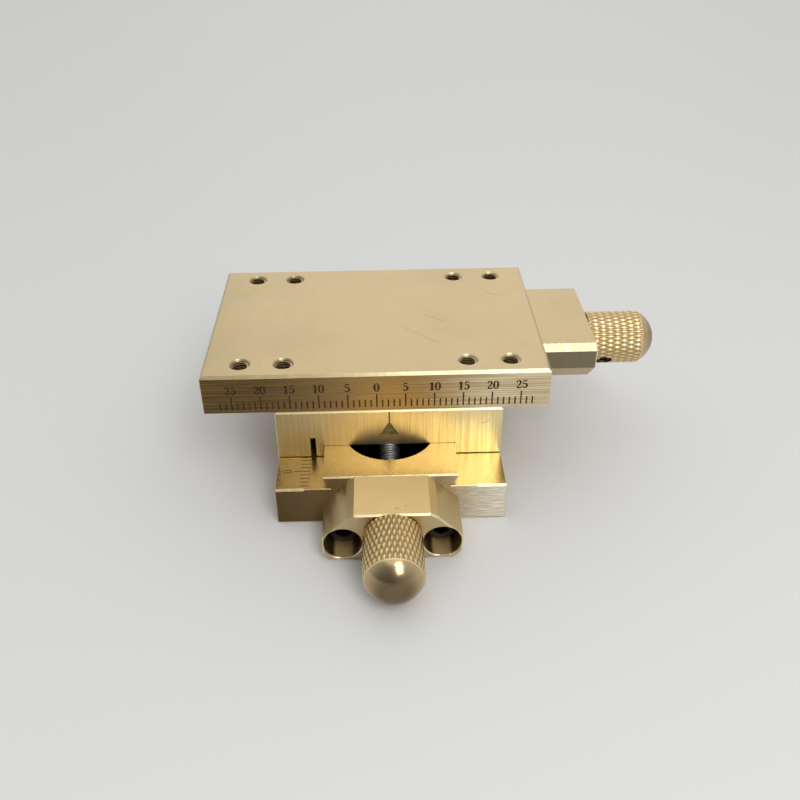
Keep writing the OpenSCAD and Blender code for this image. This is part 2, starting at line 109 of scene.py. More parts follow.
# Cap screws: node, body, way to the head, diameter, length, and the axis that the pair lies along
CAP_SCREWS = (
    ("y_bracket_screws", "base", (0, -1, 0), 3.0, 10.0, 0),
    ("x_bracket_screws", "table", (1, 0, 0), 3.0, 10.0, 1),
    ("y_nut_screws", "carriage", (0, 0, -1), 2.0, 8.0, 0),
    ("x_nut_screws", "carriage", (0, 0, 1), 2.0, 8.0, 1),
)

# Gib screws: node, way to the socket, and the axis that the row lies along
GIB_SCREWS = (("y_gib_screws", (-1, 0, 0), 1), ("x_gib_screws", (0, 1, 0), 0))
GIB_SCREW, GIB_SCREW_ROOT = 2.5, 0.9
KNOB_SCREW, KNOB_SCREW_ROOT, KNOB_SCREW_LENGTH = 3.0, 1.1, 3.0

# Engraved scales and pointer, in millimetres
LINE_WIDTH = 0.26
LINE_DEPTH = 0.1
INK_DIP = 0.012
INK_RIM = 0.052
TABLE_LINES = range(-27, 28)
TABLE_LINE_START = 0.65
TABLE_LINE, TABLE_LONG_LINE = 1.55, 2.7
TABLE_NUMBERS = range(-25, 26, 5)
TABLE_NUMBER_FOOT = 3.9
BASE_ZERO = -20.0
BASE_LINES = range(-4, 15)
BASE_LINE_INSET = 5.9
BASE_LINE, BASE_LONG_LINE = 1.75, 2.75
BASE_NUMBERS = range(0, 11, 5)
BASE_NUMBER_FOOT = 1.0
POINTER_TIP, POINTER_HEIGHT, POINTER_WIDTH, POINTER_LINE = 2.3, 2.9, 3.4, 2.0
POINTER_RIM = 0.08

# Tapped holes, in millimetres: distances from the middle of their plate, and the thread in them
TAP_DIAMETER = 3.0
TAP_WALL = 1.52
TAP_CREST = 1.23
TABLE_HOLES = [(x, y) for x in (-23.5, -16, 16, 23.5) for y in (-16, 16)]
TABLE_THREAD_ENDS = (0.3, 0.4)
BASE_HOLES = [(x, y) for x in (-16, 16) for y in (-16, 16)]
BASE_THREAD = (0.35, 5.8)

# Strokes of the numerals, drawn one unit high: (closed, points of (across, up, half width))
NUMERALS = {
    "0": [(True, [(0.09, 0.5, 0.09), (0.3, 0.96, 0.04), (0.51, 0.5, 0.09), (0.3, 0.04, 0.04)])],
    "1": [
        (False, [(0.33, 0.0, 0.09), (0.33, 1.0, 0.09)]),
        (False, [(0.10, 0.03, 0.03), (0.56, 0.03, 0.03)]),
        (False, [(0.33, 0.94, 0.045), (0.10, 0.80, 0.035)]),
    ],
    "2": [
        (False, [
            (0.12, 0.70, 0.07), (0.12, 0.86, 0.05), (0.28, 0.96, 0.04), (0.46, 0.77, 0.09),
            (0.38, 0.50, 0.06), (0.20, 0.27, 0.04), (0.09, 0.10, 0.035),
        ]),
        (False, [(0.08, 0.07, 0.05), (0.34, 0.08, 0.075), (0.50, 0.09, 0.05), (0.55, 0.26, 0.025)]),
    ],
    "5": [
        (False, [(0.13, 0.93, 0.055), (0.50, 0.94, 0.055)]),
        (False, [(0.13, 0.94, 0.03), (0.11, 0.54, 0.03)]),
        (False, [
            (0.11, 0.54, 0.03), (0.30, 0.61, 0.045), (0.49, 0.33, 0.09), (0.30, 0.05, 0.045),
            (0.12, 0.12, 0.06), (0.11, 0.22, 0.065),
        ]),
    ],
}
NUMERAL_STEP = 0.64
NUMERAL_MIDDLE = 0.3
NUMERAL_WEIGHT = 1.35
WIDEST_STROKE = 0.09

# Depths of the satin grain, of the scratches and of dried paint, in millimetres
GRAIN_DEPTH = 0.0008
SCRATCH_DEPTH = 0.012
PAINT_DEPTH = 0.01

# How much of a normal points along an axis where a face starts to count as flat, and where it does
FACE_FROM, FACE_FULL = 0.80, 0.93

# Places across the fronts, in millimetres, between which the painted dark reflection at the left end,
# the painted highlight at the right end and the painted highlight on the edges fade
DARK_REFLECTION_FADE = (-24, 1)
HIGHLIGHT_RIGHT_FADE = (3, 20)
EDGE_HIGHLIGHT_FADE = (-14, 8)

# Distances, in millimetres, in which the painted shade inside a hole and the painted highlight on a
# seat's edge fade out
HOLE_SHADE_FADE = (1.5, 1.8)
BACK_EDGE_HIGHLIGHT_FADE = (0.24, 0.14)

# Nodes with small dark specks on them
SPECKLED = ("top_table", "x_end_bracket")

# Small marks of handling: node, then (start, end, width) in millimetres
SCRATCHES = {
    "top_table": (
        ((7.2, 4.2, 25), (10.9, 1.4, 25), 0.10), ((19.4, 12.6, 25), (22.6, 11.5, 25), 0.10),
        ((26.3, -1.0, 25), (26.4, -1.05, 25), 0.16), ((2.0, 0.5, 25), (9.5, -6.5, 25), 0.05),
    ),
    "carriage": (
        ((16.2, -16, 14.2), (16.9, -16, 14.3), 0.10), ((16.9, -16, 14.3), (17.6, -16, 14.8), 0.10),
        ((12.0, -16, 9.35), (12.3, -16, 9.1), 0.10), ((15.1, -16, 11.5), (15.4, -16, 11.3), 0.06),
    ),
    "y_end_bracket": (
        ((0.5, -33.35, 10), (1.0, -33.2, 10), 0.14), ((2.2, -32.8, 10), (2.35, -32.75, 10), 0.16),
    ),
}

# Finishes that several operators share, made once and kept by name
FINISHES = {}


def box(node):
    """Lowest and highest corner of a CAD node at rest, in millimetres."""
    low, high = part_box(node)
    return low / MM, high / MM


def middle(node):
    """Middle of a CAD node's box, in millimetres."""
    low, high = box(node)
    return (low + high) / 2


def reach(node, way):
    """Half the length of a CAD node's box along a way, in millimetres."""
    low, high = box(node)
    return abs((high - low).dot(Vector(way))) / 2


def length_property(name, description, default, low, high):
    """A small length that a user can change, given in millimetres."""
    return FloatProperty(
        name=name, description=description, default=default * MM, min=low * MM, max=high * MM,
        precision=6, unit="LENGTH",
    )


def colour_property(name, description, default):
    """A colour that a user can change."""
    return FloatVectorProperty(
        name=name, description=description, subtype="COLOR", size=3, default=default, min=0, max=1,
    )


class SlideSizes(bpy.types.PropertyGroup):
    """Sizes of the fine detail."""

    knurl_count: IntProperty(
        name="Knurl count", description="Diamonds round each knob", default=35, min=24, max=48,
    )
    knurl_depth: length_property(
        "Knurl depth", "Depth of the knurl's grooves", 0.22, 0.1, 0.3,
    )
    knurl_angle: FloatProperty(
        name="Knurl angle", description="Angle between the knurl's grooves and the knob's axis",
        default=radians(18.8), min=radians(15), max=radians(45), unit="ROTATION",
    )
    number_height: length_property(
        "Number height", "Height of the numbers on the scales", 1.65, 1.2, 1.9,
    )
    number_relief: length_property(
        "Number relief", "How far the ink of the numbers stands proud", 0.012, 0.005, 0.05,
    )
    ink_depth: length_property(
        "Ink depth", "How far the ink of the lines lies below the metal", 0.03, 0.01, 0.08,
    )


class SlideColours(bpy.types.PropertyGroup):
    """Colours of the metals, the ink and the floor."""

    satin_brass: colour_property(
        "Satin brass", "Ground faces of the table and the brackets", (0.62, 0.48, 0.27),
    )
    golden_brass: colour_property(
        "Golden brass", "Faces of the carriage and the top of the base", (0.94, 0.745, 0.39),
    )
    # Painted highlight on the right end of the carriage's front
    bright_gold: colour_property(
        "Bright gold", "Right end of the carriage's front", (0.96, 0.84, 0.48),
    )
    milled_brass: colour_property(
        "Milled brass", "Milled sides of the brass", (0.42, 0.30, 0.14),
    )
    # Slow patches of olive tone on satin faces, and the darker front of the table's bracket as painted
    # shade
    olive_brass: colour_property(
        "Olive brass", "Fronts of the brackets, dulled by handling", (0.22, 0.19, 0.12),
    )
    # Painted dark brown: a painted dark reflection at the left end of the front faces, and painted shade
    # inside the table's holes
    brown_brass: colour_property(
        "Brown brass", "Tarnished left end of the front faces", (0.072, 0.049, 0.022),
    )
    knurl_brass: colour_property(
        "Knurl brass", "Points of the knobs' knurl", (0.92, 0.74, 0.41),
    )
    # Painted dark reflection on the tip of the knobs' domed end
    dome_brass: colour_property(
        "Dome brass", "Polished, darkened end of the knobs", (0.16, 0.12, 0.075),
    )
    # Painted shade inside the slots
    oil: colour_property("Oil", "Dark oil inside the slots", (0.035, 0.032, 0.022))
    # Painted highlight on the right end of the table's front
    pale_brass: colour_property(
        "Pale brass", "Bare, freshly cut ends of the brass", (0.86, 0.74, 0.49),
    )
    # Sawn right end of the base's front, brightened by a painted highlight
    sawn_brass: colour_property(
        "Sawn brass", "Rough sawn right end of the base's front", (1.0, 0.96, 0.82),
    )
    # Broken edges: partly polish from handling, partly a painted highlight where chamfers would catch
    # the lamps
    bright_edge: colour_property(
        "Bright edge", "Broken edges, where the brass is polished by handling", (0.92, 0.82, 0.52),
    )
    stain: colour_property("Stain", "Tarnish in the brass's hollows", (0.30, 0.17, 0.06))
    # Bottom of the knurl's grooves: dirt, and painted shade
    knurl_groove: colour_property(
        "Knurl groove", "Bottom of the knurl's grooves", (0.42, 0.28, 0.12),
    )
    bronze: colour_property("Bronze", "Nuts and thrust washers", (0.50, 0.30, 0.13))
    steel: colour_property("Steel", "Lead screws", (0.93, 0.92, 0.90))
    # Painted shade in the roots of the lead screws' thread
    steel_root: colour_property(
        "Steel root", "Bottom of the lead screws' thread", (0.02, 0.018, 0.016),
    )
    black_oxide: colour_property("Black oxide", "Cap screws and set screws", (0.035, 0.034, 0.036))
    # Painted shade in the roots of the small screws' thread
    oxide_root: colour_property(
        "Oxide root", "Bottom of the small screws' thread", (0.012, 0.012, 0.012),
    )
    ink: colour_property("Ink", "Paint in the scale's lines and numbers", (0.042, 0.023, 0.009))
    base_ink: colour_property("Base ink", "Paint in the base's scale, worn thinner", (0.15, 0.10, 0.035))
    pointer_ink: colour_property("Pointer ink", "Paint in the pointer", (0.12, 0.09, 0.03))
    floor: colour_property("Floor", "Studio floor", (0.74, 0.74, 0.73))


def sizes():
    """The scene's sizes of fine detail."""
    return bpy.context.scene.slide_sizes


def colours():
    """The scene's colours."""
    return bpy.context.scene.slide_colours


# Node trees


def add_node(tree, kind, **values):
    """Adds a node; values are the node's own settings."""
    made = tree.nodes.new(kind)
    for name, value in values.items():
        setattr(made, name, value)
    return made


def join(tree, source, target):
    """Links a node's output to an input, or sets a plain number, vector or colour on the input."""
    if isinstance(source, bpy.types.NodeSocket):
        tree.links.new(source, target)
    elif target.type == "RGBA":
        target.default_value = (*source, 1.0)
    else:
        target.default_value = source


def maths(tree, operation, a, b=None, clamp=False):
    """Output of a Math node."""
    made = add_node(tree, "ShaderNodeMath", operation=operation, use_clamp=clamp)
    join(tree, a, made.inputs[0])
    if b is not None:
        join(tree, b, made.inputs[1])
    return made.outputs[0]


def times(tree, a, b):
    """Product of two numbers."""
    return maths(tree, "MULTIPLY", a, b)


def vector_maths(tree, operation, a, b=None, output=0):
    """Output of a Vector Math node: 0 for a vector, 1 for a number."""
    made = add_node(tree, "ShaderNodeVectorMath", operation=operation)
    join(tree, a, made.inputs[0])
    if b is not None:
        join(tree, b, made.inputs["Scale" if operation == "SCALE" else 1])
    return made.outputs[output]


def parts(tree, vector):
    """The three numbers of a vector."""
    made = add_node(tree, "ShaderNodeSeparateXYZ")
    join(tree, vector, made.inputs[0])
    return made.outputs


def remap(tree, value, low, high, to_low=0.0, to_high=1.0):
    """Value carried smoothly from one range to another, and held at its ends."""
    made = add_node(tree, "ShaderNodeMapRange", interpolation_type="SMOOTHSTEP")
    for socket, number in zip(made.inputs, (value, low, high, to_low, to_high)):
        join(tree, number, socket)
    return made.outputs[0]


def mix_colour(tree, share, a, b):
    """Output of a colour mix."""
    made = add_node(tree, "ShaderNodeMix", data_type="RGBA")
    join(tree, share, made.inputs["Factor"])
    join(tree, a, made.inputs[6])
    join(tree, b, made.inputs[7])
    return made.outputs[2]


def mix_number(tree, share, a, b):
    """Output of a number mix."""
    made = add_node(tree, "ShaderNodeMix", data_type="FLOAT")
    join(tree, share, made.inputs["Factor"])
    join(tree, a, made.inputs[2])
    join(tree, b, made.inputs[3])
    return made.outputs[0]


def object_place(tree):
    """Coordinates of the object."""
    return add_node(tree, "ShaderNodeTexCoord").outputs["Object"]


def stretch(tree, vector, scale):
    """Coordinates multiplied by a scale for each axis."""
    made = add_node(tree, "ShaderNodeMapping")
    join(tree, vector, made.inputs["Vector"])
    made.inputs["Scale"].default_value = scale
    return made.outputs[0]


def noise(tree, vector, scale, detail, rough):
    """Output of a noise texture, from 0 to 1."""
    made = add_node(tree, "ShaderNodeTexNoise")
    join(tree, vector, made.inputs["Vector"])
    made.inputs["Scale"].default_value = scale
    made.inputs["Detail"].default_value = detail
    made.inputs["Roughness"].default_value = rough
    return made.outputs[0]


# Effects that several materials share: each function fills the tree of one node group


def facing_masks(tree, given, out):
    """Masks of flat, front and side faces, of edges broken at 45 degrees, and of rims."""
    normal = parts(tree, add_node(tree, "ShaderNodeTexCoord").outputs["Normal"])
    turned = [maths(tree, "ABSOLUTE", normal[axis]) for axis in range(3)]
    for axis, label in enumerate(("Side", "Front", "Flat")):
        join(tree, remap(tree, turned[axis], FACE_FROM, FACE_FULL), out[label])
    level = times(tree, turned[2], turned[2])
    slope = times(tree, level, maths(tree, "SUBTRACT", 1.0, level))
    corner = times(tree, turned[0], turned[1])
    steep = maths(tree, "MAXIMUM", slope, times(tree, corner, corner))
    join(tree, remap(tree, steep, 0.225, 0.24), out["Edge"])
    for axis, label in ((0, "Rim X"), (1, "Rim Y")):
        part = remap(tree, turned[axis], 0.60, 0.66)
        rest = remap(tree, turned[axis], 0.75, 0.80, 1.0, 0.0)
        join(tree, times(tree, part, rest), out[label])


def scratch_line(tree, given, out):
    """Mask of one straight scratch between two points."""
    off = vector_maths(tree, "SUBTRACT", given["Vector"], given["From"])
    way = vector_maths(tree, "SUBTRACT", given["To"], given["From"])
    passed = vector_maths(tree, "DOT_PRODUCT", off, way, 1)
    whole_way = vector_maths(tree, "DOT_PRODUCT", way, way, 1)
    share = maths(tree, "DIVIDE", passed, whole_way, clamp=True)
    near = vector_maths(tree, "SCALE", way, share)
    distance = vector_maths(tree, "DISTANCE", off, near, 1)
    join(tree, remap(tree, distance, 0.0, given["Width"], 1.0, 0.0), out["Mask"])


def inside_block(tree, given, out):
    """Mask of the points well inside a block, given by its middle and half sizes."""
    off = vector_maths(tree, "SUBTRACT", given["Vector"], given["Middle"])
    off = vector_maths(tree, "ABSOLUTE", off)
    depth = parts(tree, vector_maths(tree, "SUBTRACT", given["Half"], off))
    least = maths(tree, "MINIMUM", depth[0], depth[1])
    least = maths(tree, "MINIMUM", least, depth[2])
    join(tree, remap(tree, least, 0.0, 0.2 * MM), out["Mask"])


def hole_pattern(tree, given, out):
    """Mask of the points close to the axes of four pairs of upright holes."""
    off = vector_maths(tree, "SUBTRACT", given["Vector"], given["Middle"])
    for step in ("Pair", "Gap"):
        off = vector_maths(tree, "ABSOLUTE", off)
        off = vector_maths(tree, "SUBTRACT", off, given[step])
    off = vector_maths(tree, "MULTIPLY", off, (1, 1, 0))
    distance = vector_maths(tree, "LENGTH", off, output=1)
    inner, outer = HOLE_SHADE_FADE
    join(tree, remap(tree, distance, inner * MM, outer * MM, 1.0, 0.0), out["Mask"])


def specks(tree, given, out):
    """Small dark specks, a few millimetres apart."""
    cells = add_node(tree, "ShaderNodeTexVoronoi")
    join(tree, given["Vector"], cells.inputs["Vector"])
    cells.inputs["Scale"].default_value = 330.0
    pick = add_node(tree, "ShaderNodeSeparateColor")
    join(tree, cells.outputs["Color"], pick.inputs[0])
    dot = remap(tree, cells.outputs["Distance"], 0.02, 0.05, 1.0, 0.0)
    join(tree, times(tree, dot, remap(tree, pick.outputs[0], 0.8, 0.9)), out["Mask"])


def cutter_lines(tree, given, out):
    """Straight marks of a cutter: coarse and fine streaks along one way."""
    coarse = noise(tree, given["Vector"], 1.0, 2.0, 0.6)
    fine = noise(tree, given["Vector"], 4.3, 2.0, 0.7)
    join(tree, remap(tree, mix_number(tree, 0.5, coarse, fine), 0.32, 0.68), out["Height"])
    join(tree, remap(tree, coarse, 0.35, 0.65), out["Streak"])


def satin_grain(tree, given, out):
    """Even fine grain of a ground or blasted face."""
    join(tree, noise(tree, given["Vector"], 9000.0, 2.0, 0.6), out["Height"])
    patch = noise(tree, given["Vector"], 900.0, 3.0, 0.6)
    join(tree, remap(tree, patch, 0.35, 0.65), out["Patch"])


def hairlines(tree, given, out):
    """Sparse thin curved scratches, as handling leaves them."""
    field = noise(tree, given["Vector"], 1.0, 1.0, 0.4)
    off = maths(tree, "ABSOLUTE", maths(tree, "SUBTRACT", field, 0.5))
    line = remap(tree, off, 0.0, given["Width"], 1.0, 0.0)
    gate = noise(tree, given["Vector"], 2.3, 1.0, 0.5)
    join(tree, times(tree, line, remap(tree, gate, 0.58, 0.66)), out["Mask"])


def tarnish(tree, given, out):
    """Slow change of colour over a face: handled patches and a faint brown bloom."""
    slow = noise(tree, given["Vector"], 55.0, 2.0, 0.5)
    blot = noise(tree, given["Vector"], 260.0, 4.0, 0.6)
    join(tree, remap(tree, slow, 0.35, 0.7), out["Slow"])
    join(tree, remap(tree, blot, 0.52, 0.75), out["Blot"])


# Sockets of each effect's group: vectors and numbers that it takes, and numbers that it gives
SOCKETS = {
    facing_masks: ((), (), ("Flat", "Front", "Side", "Edge", "Rim X", "Rim Y")),
    scratch_line: (("Vector", "From", "To"), ("Width",), ("Mask",)),
    inside_block: (("Vector", "Middle", "Half"), (), ("Mask",)),
    hole_pattern: (("Vector", "Middle", "Pair", "Gap"), (), ("Mask",)),
    specks: (("Vector",), (), ("Mask",)),
    cutter_lines: (("Vector",), (), ("Height", "Streak")),
    satin_grain: (("Vector",), (), ("Height", "Patch")),
    hairlines: (("Vector",), ("Width",), ("Mask",)),
    tarnish: (("Vector",), (), ("Slow", "Blot")),
}


def effect_group(fill):
    """The node group of an effect, built when it is first asked for."""
    name = fill.__name__.replace("_", " ").capitalize()
    group = bpy.data.node_groups.get(name)
    if group:
        return group
    group = bpy.data.node_groups.new(name, "ShaderNodeTree")
    vectors, numbers, results = SOCKETS[fill]
    for label in vectors:
        group.interface.new_socket(name=label, in_out="INPUT", socket_type="NodeSocketVector")
    for label in numbers:
        group.interface.new_socket(name=label, in_out="INPUT", socket_type="NodeSocketFloat")
    for label in results:
        group.interface.new_socket(name=label, in_out="OUTPUT", socket_type="NodeSocketFloat")
    entry = group.nodes.new("NodeGroupInput")
    ending = group.nodes.new("NodeGroupOutput")
    fill(group, entry.outputs, ending.inputs)
    return group


def effect(tree, fill, **values):
    """Places an effect's group in a tree, and returns its outputs. Values are its inputs."""
    made = add_node(tree, "ShaderNodeGroup", node_tree=effect_group(fill))
    for name, value in values.items():
        join(tree, value, made.inputs[name])
    return made.outputs


# Materials


def start_material(name):
    """A material with an empty tree but for its shader and output: (material, tree, shader)."""
    material = bpy.data.materials.new(name)
    material.use_nodes = True
    tree = material.node_tree
    tree.nodes.clear()
    ending = add_node(tree, "ShaderNodeOutputMaterial")
    shader = add_node(tree, "ShaderNodeBsdfPrincipled")
    tree.links.new(shader.outputs[0], ending.inputs[0])
    return material, tree, shader


def coat(tree, shader, tone, gloss, height, depth, metallic=1.0):
    """Joins a colour, a roughness and bumps to the shader. Depth of the bumps is in millimetres."""
    join(tree, tone, shader.inputs["Base Color"])
    join(tree, gloss, shader.inputs["Roughness"])
    shader.inputs["Metallic"].default_value = metallic
    bumps = add_node(tree, "ShaderNodeBump")
    bumps.inputs["Strength"].default_value = 1.0
    bumps.inputs["Distance"].default_value = depth * MM
    join(tree, height, bumps.inputs["Height"])
    tree.links.new(bumps.outputs[0], shader.inputs["Normal"])


def handling_marks(tree, where, node, colour):
    """Scratches, hairlines and specks over a colour: (colour, depth of the marks)."""
    stain = colours().stain
    hair = effect(tree, hairlines, Vector=stretch(tree, where, (70, 45, 70)), Width=0.003)
    colour = mix_colour(tree, times(tree, hair["Mask"], 0.12), colour, stain)
    deep = 0.0
    if node in SPECKLED:
        deep = times(tree, effect(tree, specks, Vector=where)["Mask"], 0.45)
        colour = mix_colour(tree, deep, colour, stain)
    for start, end, width in SCRATCHES.get(node, ()):
        line = effect(
            tree, scratch_line, Vector=where, From=Vector(start) * MM, To=Vector(end) * MM,
            Width=width * MM,
        )
        deep = maths(tree, "MAXIMUM", deep, line["Mask"])
        colour = mix_colour(tree, times(tree, line["Mask"], 0.75), colour, stain)
    return colour, deep


def satin_tones(tree, where, colour):
    """Colour of a satin face, a little stained and dulled."""
    bloom = effect(tree, tarnish, Vector=where)
    tone = mix_colour(tree, times(tree, bloom["Blot"], 0.05), colour, colours().stain)
    return mix_colour(tree, times(tree, bloom["Slow"], 0.10), tone, colours().olive_brass)


def end_tones(tree, across, colour, dark_reflection_left, highlight_right):
    """Colour of a front face with a painted dark reflection at its left end and a painted highlight at
    its right end.
    """
    # Painted dark reflection towards the left end, painted highlight towards the right end
    brown = remap(tree, across, DARK_REFLECTION_FADE[0] * MM, DARK_REFLECTION_FADE[1] * MM, dark_reflection_left, 0.0)
    pale = remap(tree, across, HIGHLIGHT_RIGHT_FADE[0] * MM, HIGHLIGHT_RIGHT_FADE[1] * MM)
    tone = mix_colour(tree, brown, colour, colours().brown_brass)
    return mix_colour(tree, pale, tone, highlight_right)


def milled_gloss(tree, face, grain, streak, flat, side, front):
    """Roughness of a part with satin and milled faces, each given as (colour, roughness)."""
    satin = mix_number(tree, grain["Patch"], flat[1], flat[1] + 0.05)
    milled = mix_number(tree, face["Front"], side[1], front[1])
    milled = maths(tree, "ADD", milled, times(tree, streak, 0.1))
    return mix_number(tree, face["Flat"], milled, satin)


def milled_brass(name, node, flat, side, front, front_way, side_way, depth, streaks,
                 dark_reflection_left=0.0, highlight_right=None, edges="Edge", shaded_slot=None, holes=None, seat=None):
    """Brass of one CAD node, with satin flat faces, milled sides and broken edges that get a painted
    highlight, partly polish from handling.

    Flat, side and front are (colour, roughness) of those faces. The ways stretch the marks of
    the cutter, which are as deep, in millimetres, and as dark as depth and streaks say.
    Dark_reflection_left is the share of painted dark reflection at the left end of the front face, and
    highlight_right is the colour of the painted highlight at its right end. Edges is the mask of the
    edges that get a painted highlight, partly polish from handling. Shaded_slot is a block, (middle,
    half sizes), inside which the metal gets painted shade. Holes is (middle, pair, gap) of a pattern of
    holes whose insides get painted shade. Seat is the place along Y, in millimetres, of an end whose
    edge gets a painted highlight.
    """
    material, tree, shader = start_material(name)
    paint = colours()
    where = object_place(tree)
    across, along, _ = parts(tree, where)
    face = effect(tree, facing_masks)
    grain = effect(tree, satin_grain, Vector=where)
    ahead = effect(tree, cutter_lines, Vector=stretch(tree, where, front_way))
    beside = effect(tree, cutter_lines, Vector=stretch(tree, where, side_way))
    streak = mix_number(tree, face["Side"], ahead["Streak"], beside["Streak"])
    lines = mix_number(tree, face["Side"], ahead["Height"], beside["Height"])

    ends = front[0]
    # Painted highlight on the broken edges, partly polish from handling
    edge = times(tree, face[edges], mix_number(tree, grain["Patch"], 0.8, 0.6))
    if highlight_right:
        ends = end_tones(tree, across, ends, dark_reflection_left, highlight_right)
        # The painted edge highlight is fainter at the left end, along with the front's painted dark
        # reflection
        fade = remap(tree, across, EDGE_HIGHLIGHT_FADE[0] * MM, EDGE_HIGHLIGHT_FADE[1] * MM, 0.4, 1.0)
        edge = times(tree, edge, fade)
    milled = mix_colour(tree, face["Front"], side[0], ends)
    milled = mix_colour(tree, times(tree, streak, streaks), milled, paint.stain)
    colour = mix_colour(tree, face["Flat"], milled, satin_tones(tree, where, flat[0]))
    colour = mix_colour(tree, edge, colour, paint.bright_edge)
    if seat:
        # Painted highlight along the edge of the end at the seat
        close = remap(tree, along, (seat - BACK_EDGE_HIGHLIGHT_FADE[0]) * MM, (seat - BACK_EDGE_HIGHLIGHT_FADE[1]) * MM)
        colour = mix_colour(tree, times(tree, close, 0.8), colour, paint.bright_edge)
    colour, marks = handling_marks(tree, where, node, colour)
    gloss = milled_gloss(tree, face, grain, streak, flat, side, front)
    # Painted shade inside the holes: darker brown, and glossier
    if holes:
        spot, pair, gap = (Vector(step) * MM for step in holes)
        near = effect(tree, hole_pattern, Vector=where, Middle=spot, Pair=pair, Gap=gap)
        inside = times(tree, near["Mask"], maths(tree, "SUBTRACT", 1.0, face["Flat"]))
        colour = mix_colour(tree, times(tree, inside, 0.55), colour, paint.brown_brass)
        gloss = mix_number(tree, inside, gloss, 0.3)
    # Painted shade inside the slot, nearly black
    if shaded_slot:
        spot, half = (Vector(step) * MM for step in shaded_slot)
        block = effect(tree, inside_block, Vector=where, Middle=spot, Half=half)
        colour = mix_colour(tree, block["Mask"], colour, paint.oil)
    fine = times(tree, grain["Height"], GRAIN_DEPTH / depth)
    sunk = times(tree, marks, SCRATCH_DEPTH / depth)
    height = maths(tree, "SUBTRACT", mix_number(tree, face["Flat"], lines, fine), sunk)
    coat(tree, shader, colour, gloss, height, depth)
    return material


def turned_metal(name, colour, dark, rough, depth, worn, end=None):
    """Metal of a turned or threaded piece. Its attributes give the way along its axis and the share from
    the root of its thread or knurl up to the crest; the dark colour at the root is painted shade, in a
    knurl also dirt.

    End is (start and tip along the surface, rim colour, tip colour, roughness) of a polished end, whose
    colour fades from the rim to a dark tip as a painted reflection.
    """
    material, tree, shader = start_material(name)
    along = add_node(tree, "ShaderNodeAttribute", attribute_name="along").outputs["Fac"]
    crest_share = add_node(tree, "ShaderNodeAttribute", attribute_name="crest_share").outputs["Fac"]
    grain = effect(tree, satin_grain, Vector=object_place(tree))
    rings = add_node(tree, "ShaderNodeTexNoise", noise_dimensions="1D")
    join(tree, along, rings.inputs["W"])
    rings.inputs["Scale"].default_value = 7.0
    rings.inputs["Detail"].default_value = 2.0
    # Dark colour towards the root, up to a crest share of worn: painted shade in a thread's roots, and
    # dirt with painted shade in a knurl's grooves
    tone = mix_colour(tree, remap(tree, crest_share, 0.0, worn), dark, colour)
    gloss = mix_number(tree, grain["Patch"], rough, rough + 0.08)
    if end:
        start, tip, rim_highlight, tip_dark_reflection, end_rough = end
        share = remap(tree, along, start, start + 0.3)
        fade = remap(tree, along, start, 0.3 * start + 0.7 * tip)
        # Painted reflection on the dome: bright at the rim, dark towards the tip
        polished = mix_colour(tree, fade, rim_highlight, tip_dark_reflection)
        ring_share = remap(tree, rings.outputs[0], 0.35, 0.65, 0.0, 0.2)
        tone = mix_colour(tree, share, tone, mix_colour(tree, ring_share, polished, dark))
        gloss = mix_number(tree, share, gloss, end_rough)
    tone = mix_colour(tree, times(tree, grain["Patch"], 0.10), tone, dark)
    coat(tree, shader, tone, gloss, mix_number(tree, 0.35, rings.outputs[0], grain["Height"]), depth)
    return material


def painted(name, colour, rough):
    """Dried paint in an engraved line, a little uneven."""
    material, tree, shader = start_material(name)
    grain = effect(tree, satin_grain, Vector=object_place(tree))
    pale = [min(1.0, 1.7 * part) for part in colour]
    tone = mix_colour(tree, grain["Patch"], colour, pale)
    gloss = mix_number(tree, grain["Patch"], rough, rough + 0.2)
    shader.inputs["Specular IOR Level"].default_value = 0.1
    coat(tree, shader, tone, gloss, grain["Height"], PAINT_DEPTH, metallic=0.0)
    return material


def nut_bronze():
    """Bronze of the nuts and washers, with cutter marks across it."""
    material, tree, shader = start_material("Bronze")
    where = object_place(tree)
    lines = effect(tree, cutter_lines, Vector=stretch(tree, where, (700, 700, 5000)))
    stained = times(tree, effect(tree, tarnish, Vector=where)["Blot"], 0.5)
    tone = mix_colour(tree, stained, colours().bronze, colours().stain)
    gloss = mix_number(tree, lines["Streak"], 0.32, 0.45)
    coat(tree, shader, tone, gloss, lines["Height"], 0.006)
    return material


def table_brass():
    """The table: satin top, sides milled along their length, painted shade inside its holes, and a
    painted dark reflection and a painted highlight at the two ends of its front.
    """
    paint = colours()
    across = sorted({x for x, y in TABLE_HOLES})
    outer, inner = across[-1], across[-2]
    holes = (
        middle("top_table"), ((outer + inner) / 2, TABLE_HOLES[-1][1], 0), ((outer - inner) / 2, 0, 0),
    )
    return milled_brass(
        "Table brass", "top_table", (paint.satin_brass, 0.30), (paint.milled_brass, 0.28),
        (paint.milled_brass, 0.26), (50, 50, 4600), (50, 50, 4600), 0.010, 0.55,
        # 0.95 of painted dark reflection at the left end of the front, and a painted highlight at its
        # right end
        0.95, paint.pale_brass, holes=holes,
    )


def base_brass():
    """The base plate: golden top, a rough sawn front with a painted dark reflection at its left end
    and a painted highlight at its right end, and painted shade inside its slot.
    """
    paint = colours()
    top = box("base_plate")[1].z
    # Block inside the slot that gets painted shade
    slot = ((0, 0, top / 2 + 0.2), (8.3, 23.0, top / 2 - 0.5))
    return milled_brass(
        "Base brass", "base_plate", (paint.golden_brass, 0.27), (paint.milled_brass, 0.34),
        (paint.milled_brass, 0.52), (400, 400, 4200), (3800, 300, 1500), 0.014, 0.34,
        # 0.95 of painted dark reflection at the left end of the front, and the sawn right end brightened
        # by a painted highlight
        0.95, paint.sawn_brass, shaded_slot=slot,
    )


